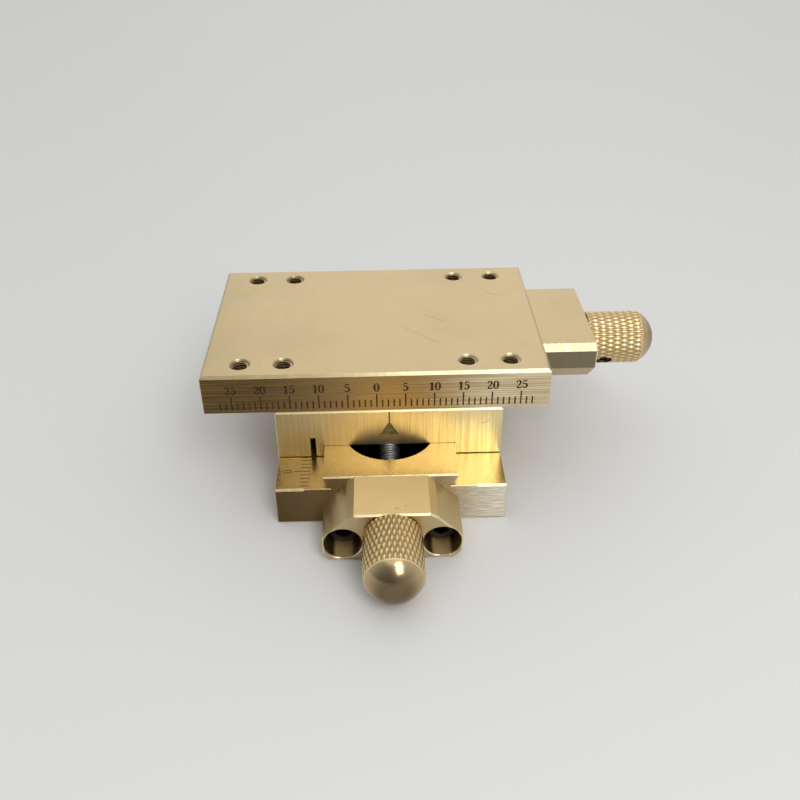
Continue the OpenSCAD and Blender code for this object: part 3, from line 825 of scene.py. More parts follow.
def carriage_brass():
    """The carriage: sides milled upright."""
    paint = colours()
    return milled_brass(
        "Carriage brass", "carriage", (paint.golden_brass, 0.27), (paint.golden_brass, 0.27),
        (paint.golden_brass, 0.35), (2600, 60, 60), (60, 2600, 60), 0.0010, 0.24,
        # 0.60 of painted dark reflection at the left end of the front, and a painted highlight at its
        # right end
        0.60, paint.bright_gold,
    )


def x_bracket_brass():
    """The table's bracket: satin, with a front darkened as painted shade."""
    paint = colours()
    return milled_brass(
        "X bracket brass", "x_end_bracket", (paint.satin_brass, 0.32), (paint.satin_brass, 0.30),
        (paint.olive_brass, 0.30), (2600, 300, 300), (300, 2600, 300), 0.0012, 0.05,
        edges="Rim X",
    )


def y_bracket_brass():
    """The base's bracket: golden on top, with a painted highlight on the edge where it sits on the base.
    """
    paint = colours()
    return milled_brass(
        "Y bracket brass", "y_end_bracket", (paint.golden_brass, 0.62), (paint.satin_brass, 0.28),
        (paint.satin_brass, 0.28), (2600, 300, 300), (300, 2600, 300), 0.0012, 0.05,
        edges="Rim Y", seat=box("y_end_bracket")[1].y,
    )


def knob_radius(axis):
    """Radius of a knob, in millimetres."""
    low, high = box(f"{axis}_knob")
    return (high - low).z / 2


def knob_brass():
    """The knobs: bright on the knurl's points, brown in its grooves from dirt and painted shade, with a
    painted reflection on the domed end, bright at the rim and dark at the tip.
    """
    paint = colours()
    dome_from = KNURL_LENGTH - knob_radius("y") + DOME_STEP
    return turned_metal(
        "Knob brass", paint.knurl_brass, paint.knurl_groove, 0.28, 0.002, 0.8,
        # Rim colour and tip colour of the dome's painted reflection
        (dome_from, KNURL_LENGTH + DOME_HEIGHT, paint.satin_brass, paint.dome_brass, 0.20),
    )


def screw_steel():
    """The lead screws: bright crests, and painted shade in the thread's roots."""
    return turned_metal("Screw steel", colours().steel, colours().steel_root, 0.26, 0.002, 0.75)


def black_oxide():
    """The cap screws and set screws."""
    return turned_metal("Black oxide", colours().black_oxide, colours().oxide_root, 0.34, 0.003, 0.5)


def scale_ink():
    """Brown-black paint of the table's scale."""
    return painted("Scale ink", colours().ink, 0.5)


def base_ink():
    """Softer olive-brown paint of the base's scale."""
    return painted("Base ink", colours().base_ink, 0.5)


def pointer_ink():
    """Olive paint of the pointer."""
    return painted("Pointer ink", colours().pointer_ink, 0.45)


def give_finish(mesh, maker):
    """Gives a mesh the material of a maker, which is made when it is first asked for."""
    if maker.__name__ not in FINISHES:
        FINISHES[maker.__name__] = maker()
    mesh.materials.clear()
    mesh.materials.append(FINISHES[maker.__name__])


# Mesh work, in millimetres along a local X axis that runs from the seat to the head


def axis_frame(start, way):
    """Matrix that carries a piece drawn in millimetres along X to its place in the frame."""
    turn = Vector((1, 0, 0)).rotation_difference(Vector(way).normalized()).to_matrix().to_4x4()
    return Matrix.Translation(Vector(start) * MM) @ turn @ Matrix.Scale(MM, 4)


def whole(bm):
    """All the vertices, edges and faces of a bmesh."""
    return bm.verts[:] + bm.edges[:] + bm.faces[:]


def only(kind, made):
    """The parts of one kind, such as vertices, among those that an operator made."""
    return [part for part in made if isinstance(part, kind)]


def line_through(bm, profile):
    """Vertices and edges through a profile of (along, radius) points."""
    points = [bm.verts.new((along, 0, radius)) for along, radius in profile]
    return points + [bm.edges.new(pair) for pair in zip(points, points[1:])]


def spin(bm, geom, angle, steps, **values):
    """Spins parts of a bmesh round the X axis."""
    bmesh.ops.spin(bm, geom=geom, cent=(0, 0, 0), axis=(1, 0, 0), angle=angle, steps=steps, **values)


def lathe(bm, profile, steps=48):
    """Turns a profile of (along, radius) points round the X axis."""
    spin(bm, line_through(bm, profile), 2 * pi, steps, use_merge=True)
    bmesh.ops.remove_doubles(bm, verts=bm.verts, dist=1e-5)


def cut_across(bm, along, dist, clear_above, clear_below):
    """Cuts a mesh across its axis, and returns the parts on the cut."""
    return bmesh.ops.bisect_plane(
        bm, geom=whole(bm), dist=dist, plane_co=(along, 0, 0), plane_no=(1, 0, 0),
        clear_outer=clear_above, clear_inner=clear_below,
    )["geom_cut"]


def cut_off(bm, along, keep_lower):
    """Cuts a mesh across its axis, clears the far side and closes the cut."""
    cut = cut_across(bm, along, 1e-5, keep_lower, not keep_lower)
    bmesh.ops.contextual_create(bm, geom=only(BMEdge, cut))


def helix(profile, pitch, turns, low, high, steps):
    """Sweeps one pitch of a thread's profile up a right-hand helix, and cuts it at low and high."""
    bm = bmesh.new()
    spin(bm, line_through(bm, profile), 2 * pi, steps, dvec=(pitch / steps, 0, 0))
    spin(bm, whole(bm), 0.0, turns, dvec=(pitch, 0, 0), use_duplicate=True)
    bmesh.ops.remove_doubles(bm, verts=bm.verts, dist=1e-4)
    cut_off(bm, low, False)
    cut_off(bm, high, True)
    return bm


def thread(bm, diameter, pitch, low, high):
    """A solid threaded rod from low to high along X."""
    crest = diameter / 2
    root = crest - THREAD_SHARE * pitch
    first = low - 2 * pitch
    turns = int((high - first) / pitch) + 1
    profile = [
        (first, root), (first + 0.22 * pitch, root), (first + 0.54 * pitch, crest),
        (first + 0.68 * pitch, crest), (first + pitch, root),
    ]
    add_mesh(bm, helix(profile, pitch, turns, low, high, 24))


def add_mesh(bm, other, matrix=None):
    """Adds another bmesh to this one, carried by a matrix, and frees it."""
    if matrix is not None:
        bmesh.ops.transform(other, matrix=matrix, verts=other.verts)
    held = bpy.data.meshes.new("held")
    other.to_mesh(held)
    bm.from_mesh(held)
    bpy.data.meshes.remove(held)
    other.free()


def hex_socket(bm, rim, width, top, depth, steps=24):
    """Face of a screw head at the top: a flat ring, then a hexagonal socket with a drilled floor."""
    outer = bmesh.ops.create_circle(bm, segments=steps, radius=rim)["verts"]
    inner = bmesh.ops.create_circle(bm, segments=steps, radius=1.0)["verts"]
    for v in outer:
        v.co = (top, v.co.x, v.co.y)
    for v in inner:
        turn = atan2(v.co.y, v.co.x)
        off = (turn + pi / 6) % (pi / 3) - pi / 6
        radius = width / 2 / cos(off)
        v.co = (top, radius * cos(turn), radius * sin(turn))
    ring = [e for v in outer + inner for e in v.link_edges]
    bmesh.ops.bridge_loops(bm, edges=list(dict.fromkeys(ring)))
    wall = list(dict.fromkeys(e for v in inner for e in v.link_edges if e.other_vert(v) in inner))
    floor = bmesh.ops.extrude_edge_only(bm, edges=wall)["geom"]
    for v in only(BMVert, floor):
        v.co.x = top - depth
    tip = bmesh.ops.extrude_edge_only(bm, edges=only(BMEdge, floor))["geom"]
    for v in only(BMVert, tip):
        v.co = (top - depth - 0.18 * width, 0, 0)


def head_radius(diameter):
    """Radius of a socket cap screw's head."""
    return (1.7 * diameter + 0.4) / 2


def cap_screw(bm, diameter, length, place):
    """Socket cap screw: head seat at X = 0, tip at -length."""
    head = head_radius(diameter)
    edge = 0.16 * head
    neck = -0.12 * length
    one = bmesh.new()
    thread(one, diameter, COARSE_PITCH[diameter], -length, neck)
    lathe(one, [
        (neck, 0), (neck, diameter / 2), (0, diameter / 2), (0, head - 0.1), (0.1, head),
        (diameter - edge, head), (diameter, head - edge),
    ], 24)
    hex_socket(one, head - edge, diameter - 0.5, diameter, diameter / 2)
    add_mesh(bm, one, place)


def set_screw(bm, diameter, length, place):
    """Socket set screw with a flat point: tip at X = 0, socket at the far end."""
    one = bmesh.new()
    rim = diameter / 2 - 0.55 * COARSE_PITCH[diameter]
    low, high = 0.12 * length, 0.93 * length
    thread(one, diameter, COARSE_PITCH[diameter], low, high)
    lathe(one, [(0, 0), (0, rim - 0.1), (0.1, rim), (low, rim)], 24)
    lathe(one, [(high, rim), (length, rim - 0.05)], 24)
    hex_socket(one, rim - 0.05, 0.4 * diameter + 0.3, length, length / 2)
    add_mesh(bm, one, place)


def note_axis(mesh, place, crest, root, plain_from=None):
    """Writes two attributes: millimetres along the piece's surface, and the crest share from 0 at the
    root to 1 at the crest.

    Past plain_from along the axis, and inside the root, there is no thread or knurl, and the crest share
    is 1.
    """
    back = place.inverted()
    along = mesh.attributes.new("along", "FLOAT", "POINT")
    crest_share = mesh.attributes.new("crest_share", "FLOAT", "POINT")
    for v in mesh.vertices:
        local = back @ v.co
        radius = hypot(local.y, local.z)
        along.data[v.index].value = local.x - radius
        share = min(1.0, max(0.0, (radius - root) / (crest - root)))
        if plain_from is not None and (local.x > plain_from or radius < root - 0.1):
            share = 1.0
        crest_share.data[v.index].value = share


def new_piece(name, bm):
    """Makes an object of a bmesh, and frees it."""
    mesh = bpy.data.meshes.new(name)
    bm.to_mesh(mesh)
    bm.free()
    piece = bpy.data.objects.new(name, mesh)
    bpy.context.scene.collection.objects.link(piece)
    return piece


def dress_piece(piece, body, finish, replaced=None, axis=None, sharp=32):
    """Gives a piece its shading, attributes, material and body, and hides the CAD node that it replaces.
    """
    mesh = piece.data
    mesh.polygons.foreach_set("use_smooth", [True] * len(mesh.polygons))
    mesh.set_sharp_from_angle(angle=radians(sharp))
    if axis:
        note_axis(mesh, *axis)
    give_finish(mesh, finish)
    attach(piece, body)
    if replaced:
        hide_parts(replaced)


def make_piece(bm, name, body, finish, replaced=None, axis=None):
    """Turns a bmesh into a finished piece that rides on a body. Axis is (place, crest, root)."""
    bmesh.ops.remove_doubles(bm, verts=bm.verts, dist=1e-8)
    bmesh.ops.recalc_face_normals(bm, faces=bm.faces)
    dress_piece(new_piece(name, bm), body, finish, replaced, axis)


def make_engraving(bm, name, body, finish):
    """Turns a bmesh drawn in millimetres, at its place in the frame, into a finished piece."""
    bmesh.ops.scale(bm, vec=(MM, MM, MM), verts=bm.verts)
    make_piece(bm, name, body, finish)


# Knobs


def groove_height(t):
    """Height of a knurl's flank at a share t of a diamond's side, from 0 in a groove to 1."""
    return 1 - (1 - 2 * min(t, 1 - t)) ** 1.2


def knurl_strip(count, angle, radius, depth, length, cuts=6):
    """One band of diamonds that follows a groove from end to end of the knurl."""
    turn = 2 * pi / count
    half_rise = radius * turn / 2 / tan(angle)
    cells = int(length / half_rise) + 4
    bm = bmesh.new()
    bmesh.ops.create_grid(bm, x_segments=cuts * cells, y_segments=cuts, size=0.5)
    for v in bm.verts:
        u = (v.co.x + 0.5) * cells
        w = v.co.y + 0.5
        high = min(groove_height(u % 1.0), groove_height(w))
        r = radius - depth * (1 - high)
        theta = (u + w) * turn / 2
        v.co = ((u - w - 1) * half_rise, r * cos(theta), r * sin(theta))
    return bm


def set_radius(v, radius):
    """Moves a vertex straight out or in to a distance from the X axis."""
    r = hypot(v.co.y, v.co.z)
    v.co.y *= radius / r
    v.co.z *= radius / r


def bevel_knurl(bm, radius, dome_radius):
    """Cuts the knurl to its length, and slopes its two ends off."""
    for along in (0.0, KNURL_EDGE, KNURL_LENGTH - KNURL_EDGE, KNURL_LENGTH):
        cut_across(bm, along, 1e-4, along == KNURL_LENGTH, along == 0.0)
    for v in bm.verts:
        far = KNURL_LENGTH - v.co.x
        limit = min(radius - KNURL_EDGE + v.co.x, dome_radius + far * DOME_STEP / KNURL_EDGE)
        at_dome = far < 1e-3
        if at_dome or hypot(v.co.y, v.co.z) > limit:
            set_radius(v, dome_radius if at_dome else limit)


def grow_rings(bm, along, rings):
    """Extrudes the open rim at a place along X through rings of (along, radius)."""
    rim = [e for e in bm.edges if e.is_boundary and all(abs(v.co.x - along) < 1e-3 for v in e.verts)]
    for place, radius in rings:
        grown = bmesh.ops.extrude_edge_only(bm, edges=rim)["geom"]
        for v in only(BMVert, grown):
            v.co.x = place
            set_radius(v, max(radius, 1e-4))
        rim = only(BMEdge, grown)


def knob_body(radius):
    """A knob's mesh: knurled sleeve, domed end and blind bore, in millimetres along X."""
    detail = sizes()
    count = detail.knurl_count
    bm = knurl_strip(count, detail.knurl_angle, radius, detail.knurl_depth / MM, KNURL_LENGTH)
    spin(bm, whole(bm), 2 * pi * (count - 1) / count, count - 1, use_duplicate=True)
    bmesh.ops.remove_doubles(bm, verts=bm.verts, dist=1e-3)
    dome_radius = radius - DOME_STEP
    bevel_knurl(bm, radius, dome_radius)
    ball = (dome_radius**2 + DOME_HEIGHT**2) / (2 * DOME_HEIGHT)
    lift = KNURL_LENGTH + DOME_HEIGHT - ball
    first = atan2(KNURL_LENGTH - lift, dome_radius)
    slopes = [first + (pi / 2 - first) * k / 16 for k in range(1, 17)]
    grow_rings(bm, KNURL_LENGTH, [(lift + ball * sin(t), ball * cos(t)) for t in slopes])
    bore = KNOB_BORE / 2
    grow_rings(bm, 0.0, [
        (0.0, bore + BORE_EDGE), (BORE_EDGE, bore), (KNOB_BORE_DEPTH, bore),
        (KNOB_BORE_DEPTH + DRILL_TIP, 0.0),
    ])
    bmesh.ops.remove_doubles(bm, verts=bm.verts, dist=1e-4)
    return bm


def drill(piece, place, way, diameter, depth):
    """Drills a hole into a piece's mesh with a Boolean modifier, and keeps the result as its mesh."""
    bm = bmesh.new()
    bmesh.ops.create_cone(
        bm, cap_ends=True, segments=36, radius1=diameter / 2, radius2=diameter / 2, depth=depth,
        matrix=Matrix.Translation((0, 0, depth / 2)),
    )
    turn = Vector((0, 0, 1)).rotation_difference(Vector(way)).to_matrix().to_4x4()
    frame_of_hole = Matrix.Translation(Vector(place) * MM) @ turn @ Matrix.Scale(MM, 4)
    bmesh.ops.transform(bm, matrix=frame_of_hole, verts=bm.verts)
    tool = new_piece("drill", bm)
    cut = piece.modifiers.new("drilled", "BOOLEAN")
    cut.operation = "DIFFERENCE"
    cut.solver = "EXACT"
    cut.object = tool
    graph = bpy.context.evaluated_depsgraph_get()
    result = bpy.data.meshes.new_from_object(piece.evaluated_get(graph))
    spent = (piece.data, tool.data)
    piece.modifiers.clear()
    piece.data = result
    result.name = piece.name
    bpy.data.objects.remove(tool)
    for mesh in spent:
        bpy.data.meshes.remove(mesh)


def build_knob(axis, out):
    """Builds the knob of one axis, with the hole of its set screw."""
    start = middle(f"{axis}_knob") - out * reach(f"{axis}_knob", out)
    place = axis_frame(start, out)
    radius = knob_radius(axis)
    bm = knob_body(radius)
    bmesh.ops.transform(bm, matrix=place, verts=bm.verts)
    bmesh.ops.recalc_face_normals(bm, faces=bm.faces)
    knob = new_piece(f"{axis}_knob_knurled", bm)
    screw = middle(f"{axis}_knob_set_screw")
    on_axis = start + out * (screw - start).dot(out)
    drill(knob, on_axis, (screw - on_axis).normalized(), SET_SCREW_HOLE, SET_SCREW_HOLE_REACH)
    valley = radius - sizes().knurl_depth / MM
    dress_piece(
        knob, f"{axis}_screw", knob_brass, f"{axis}_knob",
        (place, radius, valley, KNURL_LENGTH - 0.05), 40,
    )


class SLIDE_OT_knobs(bpy.types.Operator):
    """Builds both knobs, with their diamond knurl, domed end and set screw hole"""

    bl_idname = "slide.knobs"
    bl_label = "Knobs"

    def execute(self, context):
        for axis, out in WAYS.items():
            build_knob(axis, out)
        return {"FINISHED"}


# Screws


def screw_body(collar, end):
    """A lead screw's mesh along X: bare journal, thread, thrust collar and shaft."""
    journal, shaft, disc = JOURNAL_DIAMETER / 2, SHAFT_DIAMETER / 2, COLLAR_DIAMETER / 2
    bm = bmesh.new()
    lathe(bm, [
        (0, 0), (0, journal - SHAFT_EDGE), (SHAFT_EDGE, journal), (JOURNAL_REACH, journal),
        (JOURNAL_REACH, 0),
    ], 32)
    thread(bm, THREAD_DIAMETER, LEAD_PITCH, JOURNAL_REACH, collar)
    back = collar + COLLAR_THICKNESS
    lathe(bm, [
        (collar, 0), (collar, disc - COLLAR_EDGE), (collar + COLLAR_EDGE, disc),
        (back - COLLAR_EDGE, disc), (back, disc - COLLAR_EDGE), (back, 0),
    ])
    shank = bmesh.new()
    lathe(shank, [
        (back, 0), (back, shaft), (end - SHAFT_EDGE, shaft), (end, shaft - SHAFT_EDGE), (end, 0),
    ])
    add_mesh(bm, shank)
    return bm


def flatten_shaft(bm, way, start):
    """Moves the shaft's mesh in to a flat that faces a way, past a place along X."""
    for v in bm.verts:
        over = v.co.dot(way) - (SHAFT_DIAMETER / 2 - SHAFT_FLAT)
        if v.co.x > start and over > 0:
            v.co -= way * over


def build_lead_screw(axis, out):
    """Builds a lead screw: thread, bare journal, thrust collar and shaft with a flat."""
    length = 2 * reach(f"{axis}_lead_screw", out)
    tail = middle(f"{axis}_lead_screw") - out * length / 2
    bracket = f"{axis}_end_bracket"
    seat = middle(bracket) - out * reach(bracket, out)
    bm = screw_body((seat - tail).dot(out) + COLLAR_INSET, length)
    place = axis_frame(tail, out)
    screw = middle(f"{axis}_knob_set_screw")
    flat_way = place.inverted() @ (screw * MM)
    flat_way.x = 0
    flatten_shaft(bm, flat_way.normalized(), (screw - tail).dot(out) - SHAFT_FLAT_REACH)
    bmesh.ops.transform(bm, matrix=place, verts=bm.verts)
    crest = THREAD_DIAMETER / 2
    make_piece(
        bm, f"{axis}_screw_threaded", f"{axis}_screw", screw_steel,
        f"{axis}_lead_screw", (place, crest, crest - THREAD_SHARE * LEAD_PITCH),
    )


class SLIDE_OT_lead_screws(bpy.types.Operator):
    """Builds both lead screws with their real thread"""

    bl_idname = "slide.lead_screws"
    bl_label = "Lead screws"

    def execute(self, context):
        for axis, out in WAYS.items():
            build_lead_screw(axis, out)
        return {"FINISHED"}


def row_of_frames(place, axis, steps, way):
    """Frames of a row of screws that point one way, by their steps along an axis from a place."""
    frames = []
    for step in steps:
        spot = place.copy()
        spot[axis] += step
        frames.append(axis_frame(spot, way))
    return frames


def cap_screw_frames(node, way, diameter, spread):
    """Frames of a pair of cap screws in their node's box. Spread is the axis that they lie along."""
    low, high = box(node)
    seat = middle(node) + Vector(way) * (reach(node, way) - diameter)
    out = (high - low)[spread] / 2 - head_radius(diameter)
    return row_of_frames(seat, spread, (-out, out), way)


class SLIDE_OT_cap_screws(bpy.types.Operator):
    """Builds the socket cap screws of the brackets and the nuts"""

    bl_idname = "slide.cap_screws"
    bl_label = "Cap screws"

    def execute(self, context):
        for node, body, way, diameter, length, spread in CAP_SCREWS:
            bm = bmesh.new()
            frames = cap_screw_frames(node, way, diameter, spread)
            for place in frames:
                cap_screw(bm, diameter, length, place)
            make_piece(
                bm, f"{node}_socket", body, black_oxide, node,
                (frames[0], diameter, diameter / 2 - 0.4),
            )
        return {"FINISHED"}


def build_set_screws(node, body, diameter, root, length, frames):
    """Builds the set screws of one node, at their frames. Root is the radius inside the thread."""
    bm = bmesh.new()
    for place in frames:
        set_screw(bm, diameter, length, place)
    make_piece(
        bm, f"{node}_socket", body, black_oxide, node,
        (frames[-1], diameter / 2, root),
    )


def gib_screw_frames(node, way, run):
    """Frames of three gib screws in their node's box. Run is the axis that their row lies along."""
    low, high = box(node)
    tip = middle(node) - Vector(way) * reach(node, way)
    step = (high - low)[run] / 2 - (high - low).z / 2
    return row_of_frames(tip, run, (-step, 0, step), way)


class SLIDE_OT_set_screws(bpy.types.Operator):
    """Builds the set screws of the gibs and the knobs"""

    bl_idname = "slide.set_screws"
    bl_label = "Set screws"

    def execute(self, context):
        for node, way, run in GIB_SCREWS:
            frames = gib_screw_frames(node, way, run)
            length = 2 * reach(node, way)
            build_set_screws(node, "carriage", GIB_SCREW, GIB_SCREW_ROOT, length, frames)
        for axis, out in WAYS.items():
            node = f"{axis}_knob_set_screw"
            centre = middle(node)
            way = centre - middle(f"{axis}_knob")
            way -= out * way.dot(out)
            way.normalize()
            tip = axis_frame(centre - way * KNOB_SCREW_LENGTH / 2, way)
            build_set_screws(
                node, f"{axis}_screw", KNOB_SCREW, KNOB_SCREW_ROOT, KNOB_SCREW_LENGTH, [tip],
            )
        return {"FINISHED"}


class SLIDE_OT_brass(bpy.types.Operator):
    """Gives the plates, the carriage, the brackets, the nuts and the washers their metals"""

    bl_idname = "slide.brass"
    bl_label = "Brass and bronze"

    def execute(self, context):
        for finish, nodes in (
            (table_brass, ("top_table",)),
            (base_brass, ("base_plate",)),
            (carriage_brass, ("carriage",)),
            (y_bracket_brass, ("y_end_bracket",)),
            (x_bracket_brass, ("x_end_bracket",)),
            (nut_bronze, ("y_nut", "x_nut", "y_thrust_washers", "x_thrust_washers")),
        ):
            for node in nodes:
                give_finish(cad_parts[node].data, finish)
        return {"FINISHED"}


# Scales, numbers and threads


def groove_fill(bm, low, high, out):
    """Paint in an engraved line: a block between two corners whose outer face dips a little."""
    size = Vector(high) - Vector(low)
    place = Matrix.Translation((Vector(low) + Vector(high)) / 2) @ Matrix.Diagonal((*size, 1))
    verts = bmesh.ops.create_cube(bm, size=1.0, matrix=place)["verts"]
    faces = {f for v in verts for f in v.link_faces}
    outer = max(faces, key=lambda f: f.calc_center_median().dot(Vector(out)))
    bm.normal_update()
    bmesh.ops.inset_region(bm, faces=[outer], thickness=INK_RIM, depth=-INK_DIP)


def table_scale(skin):
    """Paint in the lines on the table's front, a skin's depth below the metal."""
    half = LINE_WIDTH / 2
    low, high = box("top_table")
    foot = low.z + RAIL_HEIGHT + TABLE_LINE_START
    bm = bmesh.new()
    for k in TABLE_LINES:
        x = (low.x + high.x) / 2 + k
        top = foot + (TABLE_LONG_LINE if k % 5 == 0 else TABLE_LINE)
        groove_fill(bm, (x - half, low.y + skin, foot), (x + half, low.y + LINE_DEPTH, top), (0, -1, 0))
    make_engraving(bm, "table_scale_ink", "table", scale_ink)


def base_scale(skin):
    """Paint in the lines on the base's left shoulder, a skin's depth below the metal."""
    half = LINE_WIDTH / 2
    low, high = box("base_plate")
    face = high.z - RAIL_HEIGHT
    inner = low.x + BASE_LINE_INSET
    bm = bmesh.new()
    for k in BASE_LINES:
        y = (low.y + high.y) / 2 + BASE_ZERO + k
        outer = inner - (BASE_LONG_LINE if k % 5 == 0 else BASE_LINE)
        groove_fill(bm, (outer, y - half, face - LINE_DEPTH), (inner, y + half, face - skin), (0, 0, 1))
    make_engraving(bm, "base_scale_ink", "base", base_ink)


class SLIDE_OT_scales(bpy.types.Operator):
    """Fills the engraved lines of both scales with dark paint"""

    bl_idname = "slide.scales"
    bl_label = "Scale lines"

    def execute(self, context):
        table_scale(sizes().ink_depth / MM)
        base_scale(sizes().ink_depth / MM)
        return {"FINISHED"}


def pointer_arrow(x, tip, face, floor):
    """Paint in the pointer's arrow head, between its floor and the carriage's face, along Y."""
    arrow = bmesh.new()
    verts = bmesh.ops.create_circle(arrow, cap_ends=True, segments=3, radius=1.0)["verts"]
    wing, foot = POINTER_WIDTH / 2, tip - POINTER_HEIGHT
    for v, (across, up) in zip(verts, ((0, tip), (-wing, foot), (wing, foot))):
        v.co = (x + across, floor, up)
    raised = bmesh.ops.extrude_face_region(arrow, geom=arrow.faces[:])["geom"]
    bmesh.ops.translate(arrow, vec=(0, face - floor, 0), verts=only(BMVert, raised))
    bmesh.ops.recalc_face_normals(arrow, faces=arrow.faces)
    front = [f for f in arrow.faces if f.normal.y < -0.5]
    bmesh.ops.inset_region(arrow, faces=front, thickness=POINTER_RIM, depth=-INK_DIP)
    return arrow


class SLIDE_OT_pointer(bpy.types.Operator):
    """Fills the engraved pointer on the carriage with olive paint"""

    bl_idname = "slide.pointer"
    bl_label = "Pointer"

    def execute(self, context):
        low, high = box("carriage")
        x = (low.x + high.x) / 2
        tip = high.z - POINTER_TIP
        face, floor = low.y + sizes().ink_depth / MM, low.y + LINE_DEPTH
        half = LINE_WIDTH / 2
        bm = bmesh.new()
        groove_fill(bm, (x - half, face, tip - half), (x + half, floor, tip + POINTER_LINE), (0, -1, 0))
        add_mesh(bm, pointer_arrow(x, tip, face, floor))
        make_engraving(bm, "pointer_ink", "carriage", pointer_ink)
        return {"FINISHED"}


def numeral_strokes(text):
    """A curve of a number's strokes, one unit high, with its middle at the origin."""
    curve = bpy.data.curves.new("strokes", "CURVE")
    curve.dimensions = "3D"
    curve.bevel_depth = 1.0
    curve.bevel_resolution = 1
    curve.resolution_u = 6
    curve.use_fill_caps = True
    for place, digit in enumerate(text):
        shift = (place - (len(text) - 1) / 2) * NUMERAL_STEP - NUMERAL_MIDDLE
        for closed, points in NUMERALS[digit]:
            spline = curve.splines.new("BEZIER")
            spline.bezier_points.add(len(points) - 1)
            spline.use_cyclic_u = closed
            for knot, (across, up, half_width) in zip(spline.bezier_points, points):
                knot.co = (across + shift, up, 0)
                knot.radius = NUMERAL_WEIGHT * half_width
                knot.handle_left_type = knot.handle_right_type = "AUTO"
    return curve


def numeral_mesh(text):
    """A bmesh of a number in millimetres: middle of its foot at the origin, up along Y, out along Z."""
    curve = numeral_strokes(text)
    holder = bpy.data.objects.new("strokes", curve)
    mesh = bpy.data.meshes.new_from_object(holder)
    bm = bmesh.new()
    bm.from_mesh(mesh)
    bpy.data.objects.remove(holder)
    bpy.data.curves.remove(curve)
    bpy.data.meshes.remove(mesh)
    height = sizes().number_height / MM
    relief = sizes().number_relief / MM
    bmesh.ops.scale(bm, vec=(height, height, relief / WIDEST_STROKE), verts=bm.verts)
    return bm


def print_numbers(body, finish, numbers, zero, way, turn):
    """Prints a row of numbers, a millimetre apart for each unit, from the place of its zero."""
    bm = bmesh.new()
    for k in numbers:
        add_mesh(bm, numeral_mesh(str(abs(k))), Matrix.Translation(zero + k * Vector(way)) @ turn)
    make_engraving(bm, f"{body}_numbers", body, finish)


class SLIDE_OT_numbers(bpy.types.Operator):
    """Prints the plain numbers beside the scale lines, every fifth line"""

    bl_idname = "slide.numbers"
    bl_label = "Numbers"

    def execute(self, context):
        low, high = box("top_table")
        zero = Vector(((low.x + high.x) / 2, low.y, low.z + RAIL_HEIGHT + TABLE_NUMBER_FOOT))
        upright = Matrix.Rotation(pi / 2, 4, "X")
        print_numbers("table", scale_ink, TABLE_NUMBERS, zero, (1, 0, 0), upright)
        low, high = box("base_plate")
        zero = Vector((
            low.x + BASE_NUMBER_FOOT, (low.y + high.y) / 2 + BASE_ZERO, high.z - RAIL_HEIGHT,
        ))
        sideways = Matrix.Rotation(-pi / 2, 4, "Z")
        print_numbers("base", base_ink, BASE_NUMBERS, zero, (0, 1, 0), sideways)
        return {"FINISHED"}


def tapped_hole(bm, x, y, low, high):
    """Thread ridge inside a vertical tapped hole, from low to high, in millimetres."""
    pitch = COARSE_PITCH[TAP_DIAMETER]
    first = low - 1.5 * pitch
    profile = [
        (first, TAP_WALL), (first + 0.38 * pitch, TAP_CREST), (first + 0.52 * pitch, TAP_CREST),
        (first + 0.9 * pitch, TAP_WALL), (first, TAP_WALL),
    ]
    ridge = helix(profile, pitch, int((high - low) / pitch) + 2, low, high, 20)
    add_mesh(bm, ridge, Matrix.Translation((x, y, 0)) @ Matrix.Rotation(-pi / 2, 4, "Y"))


def hole_threads(node, body, holes, start, end):
    """Builds the thread inside a plate's holes, between two heights above the plate's foot."""
    low, high = box(node)
    bm = bmesh.new()
    for x, y in holes:
        tapped_hole(
            bm, (low.x + high.x) / 2 + x, (low.y + high.y) / 2 + y, low.z + start, low.z + end,
        )
    make_engraving(bm, f"{body}_hole_threads", body, table_brass)


class SLIDE_OT_hole_threads(bpy.types.Operator):
    """Cuts the thread that shows inside the tapped holes of the table and the base"""

    bl_idname = "slide.hole_threads"
    bl_label = "Hole threads"

    def execute(self, context):
        thickness = 2 * reach("top_table", (0, 0, 1))
        bottom_gap, top_gap = TABLE_THREAD_ENDS
        hole_threads("top_table", "table", TABLE_HOLES, RAIL_HEIGHT + bottom_gap, thickness - top_gap)
        hole_threads("base_plate", "base", BASE_HOLES, *BASE_THREAD)
        return {"FINISHED"}


# Stage


def camera_turn():
    """The camera's turn: yaw about Z, pitch down from level, then roll about its own axis."""
    return (
        Matrix.Rotation(radians(-CAMERA_YAW), 4, "Z")
        @ Matrix.Rotation(radians(90 - CAMERA_PITCH), 4, "X")
        @ Matrix.Rotation(radians(CAMERA_ROLL), 4, "Z")
    )


def soft_lamp(name, place, size, brightness):
    """A square soft lamp that faces the slide; place and size in millimetres."""
    data = bpy.data.lights.new(name, "AREA")
    data.shape = "SQUARE"
    data.size = size * MM
    data.energy = brightness * pi * data.size**2
    lamp = bpy.data.objects.new(name, data)
    bpy.context.scene.collection.objects.link(lamp)
    lamp.location = Vector(place) * MM
    lamp.rotation_euler = (LAMP_AIM - Vector(place)).to_track_quat("-Z", "Y").to_euler()


def add_camera():
    """The camera, where the photograph was taken from."""
    data = bpy.data.cameras.new("camera")
    data.sensor_width = SENSOR_MM
    data.lens = FOCAL_PX / IMAGE_PX * SENSOR_MM
    data.clip_start = 0.005
    camera = bpy.data.objects.new("camera", data)
    camera.matrix_world = Matrix.Translation(Vector(CAMERA_PLACE) * MM) @ camera_turn()
    bpy.context.scene.collection.objects.link(camera)
    bpy.context.scene.camera = camera


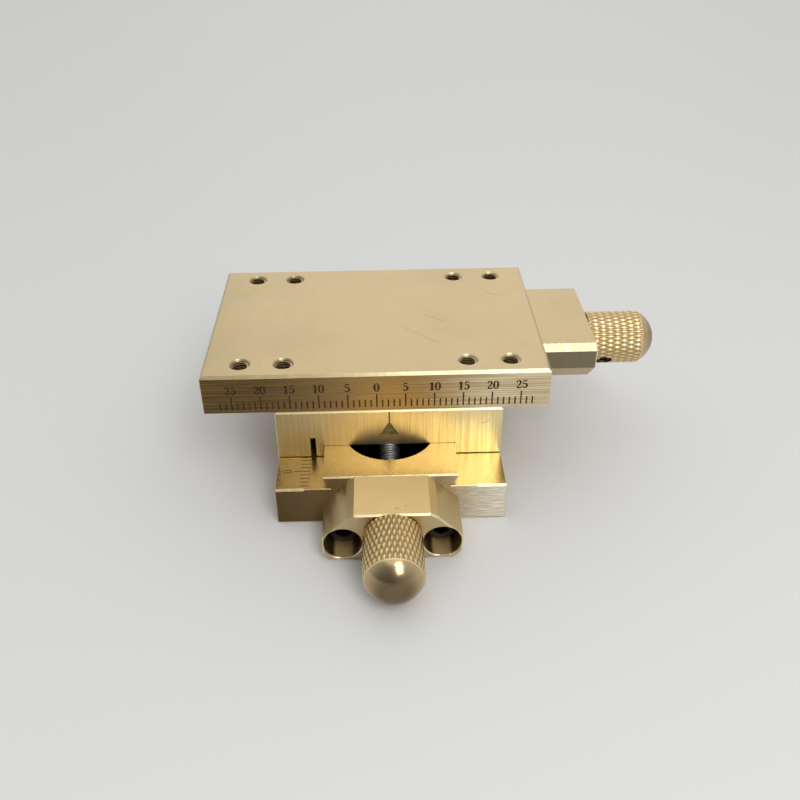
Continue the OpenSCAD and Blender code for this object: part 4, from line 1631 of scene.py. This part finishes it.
def add_floor():
    """A wide pale floor, a hundredth of a millimetre below the slide."""
    bm = bmesh.new()
    level = Matrix.Translation((0, 0, -0.01 * MM))
    bmesh.ops.create_grid(bm, x_segments=1, y_segments=1, size=2.5, matrix=level)
    floor = new_piece("floor", bm)
    material, tree, shader = start_material("Floor")
    join(tree, colours().floor, shader.inputs["Base Color"])
    shader.inputs["Roughness"].default_value = 0.5
    shader.inputs["Specular IOR Level"].default_value = 0.3
    floor.data.materials.append(material)


def add_room():
    """Pale even surroundings, brightest above, and dimmest at the left of the camera's side."""
    world = bpy.data.worlds.new("studio")
    world.use_nodes = True
    tree = world.node_tree
    way = parts(tree, add_node(tree, "ShaderNodeTexCoord").outputs["Generated"])
    front = mix_colour(tree, remap(tree, way[0], -0.35, 0.45), ROOM_LEFT, ROOM_RIGHT)
    walls = mix_colour(tree, remap(tree, way[1], -0.7, 0.5), front, ROOM_BACK)
    room = mix_colour(tree, remap(tree, way[2], 0.78, 0.95), walls, ROOM_ABOVE)
    join(tree, room, tree.nodes["Background"].inputs["Color"])
    bpy.context.scene.world = world


class SLIDE_OT_stage(bpy.types.Operator):
    """Sets up the camera, the pale floor, the room and the soft lamps"""

    bl_idname = "slide.stage"
    bl_label = "Stage"

    def execute(self, context):
        context.scene.view_settings.view_transform = "Standard"
        add_camera()
        add_floor()
        add_room()
        for lamp in LAMPS:
            soft_lamp(*lamp)
        return {"FINISHED"}


STEPS = (
    SLIDE_OT_stage,
    SLIDE_OT_brass,
    SLIDE_OT_knobs,
    SLIDE_OT_lead_screws,
    SLIDE_OT_cap_screws,
    SLIDE_OT_set_screws,
    SLIDE_OT_scales,
    SLIDE_OT_pointer,
    SLIDE_OT_numbers,
    SLIDE_OT_hole_threads,
)


class SLIDE_PT_panel(bpy.types.Panel):
    """Lists the steps that build the cross slide"""

    bl_label = "Cross Slide"
    bl_idname = "SLIDE_PT_panel"
    bl_space_type = "VIEW_3D"
    bl_region_type = "UI"
    bl_category = "Cross Slide"

    def draw(self, context):
        column = self.layout.column(align=True)
        for step in STEPS:
            column.operator(step.bl_idname)
        for group in (context.scene.slide_sizes, context.scene.slide_colours):
            for name in group.bl_rna.properties.keys():
                if name not in ("rna_type", "name"):
                    self.layout.prop(group, name)


CLASSES = (SlideSizes, SlideColours, *STEPS, SLIDE_PT_panel)


def register():
    for cls in CLASSES:
        bpy.utils.register_class(cls)
    bpy.types.Scene.slide_sizes = PointerProperty(type=SlideSizes)
    bpy.types.Scene.slide_colours = PointerProperty(type=SlideColours)


def unregister():
    del bpy.types.Scene.slide_colours
    del bpy.types.Scene.slide_sizes
    for cls in reversed(CLASSES):
        bpy.utils.unregister_class(cls)


def main():
    register()
    for step in STEPS:
        group, name = step.bl_idname.split(".")
        getattr(getattr(bpy.ops, group), name)()


if __name__ == "__main__":
    main()
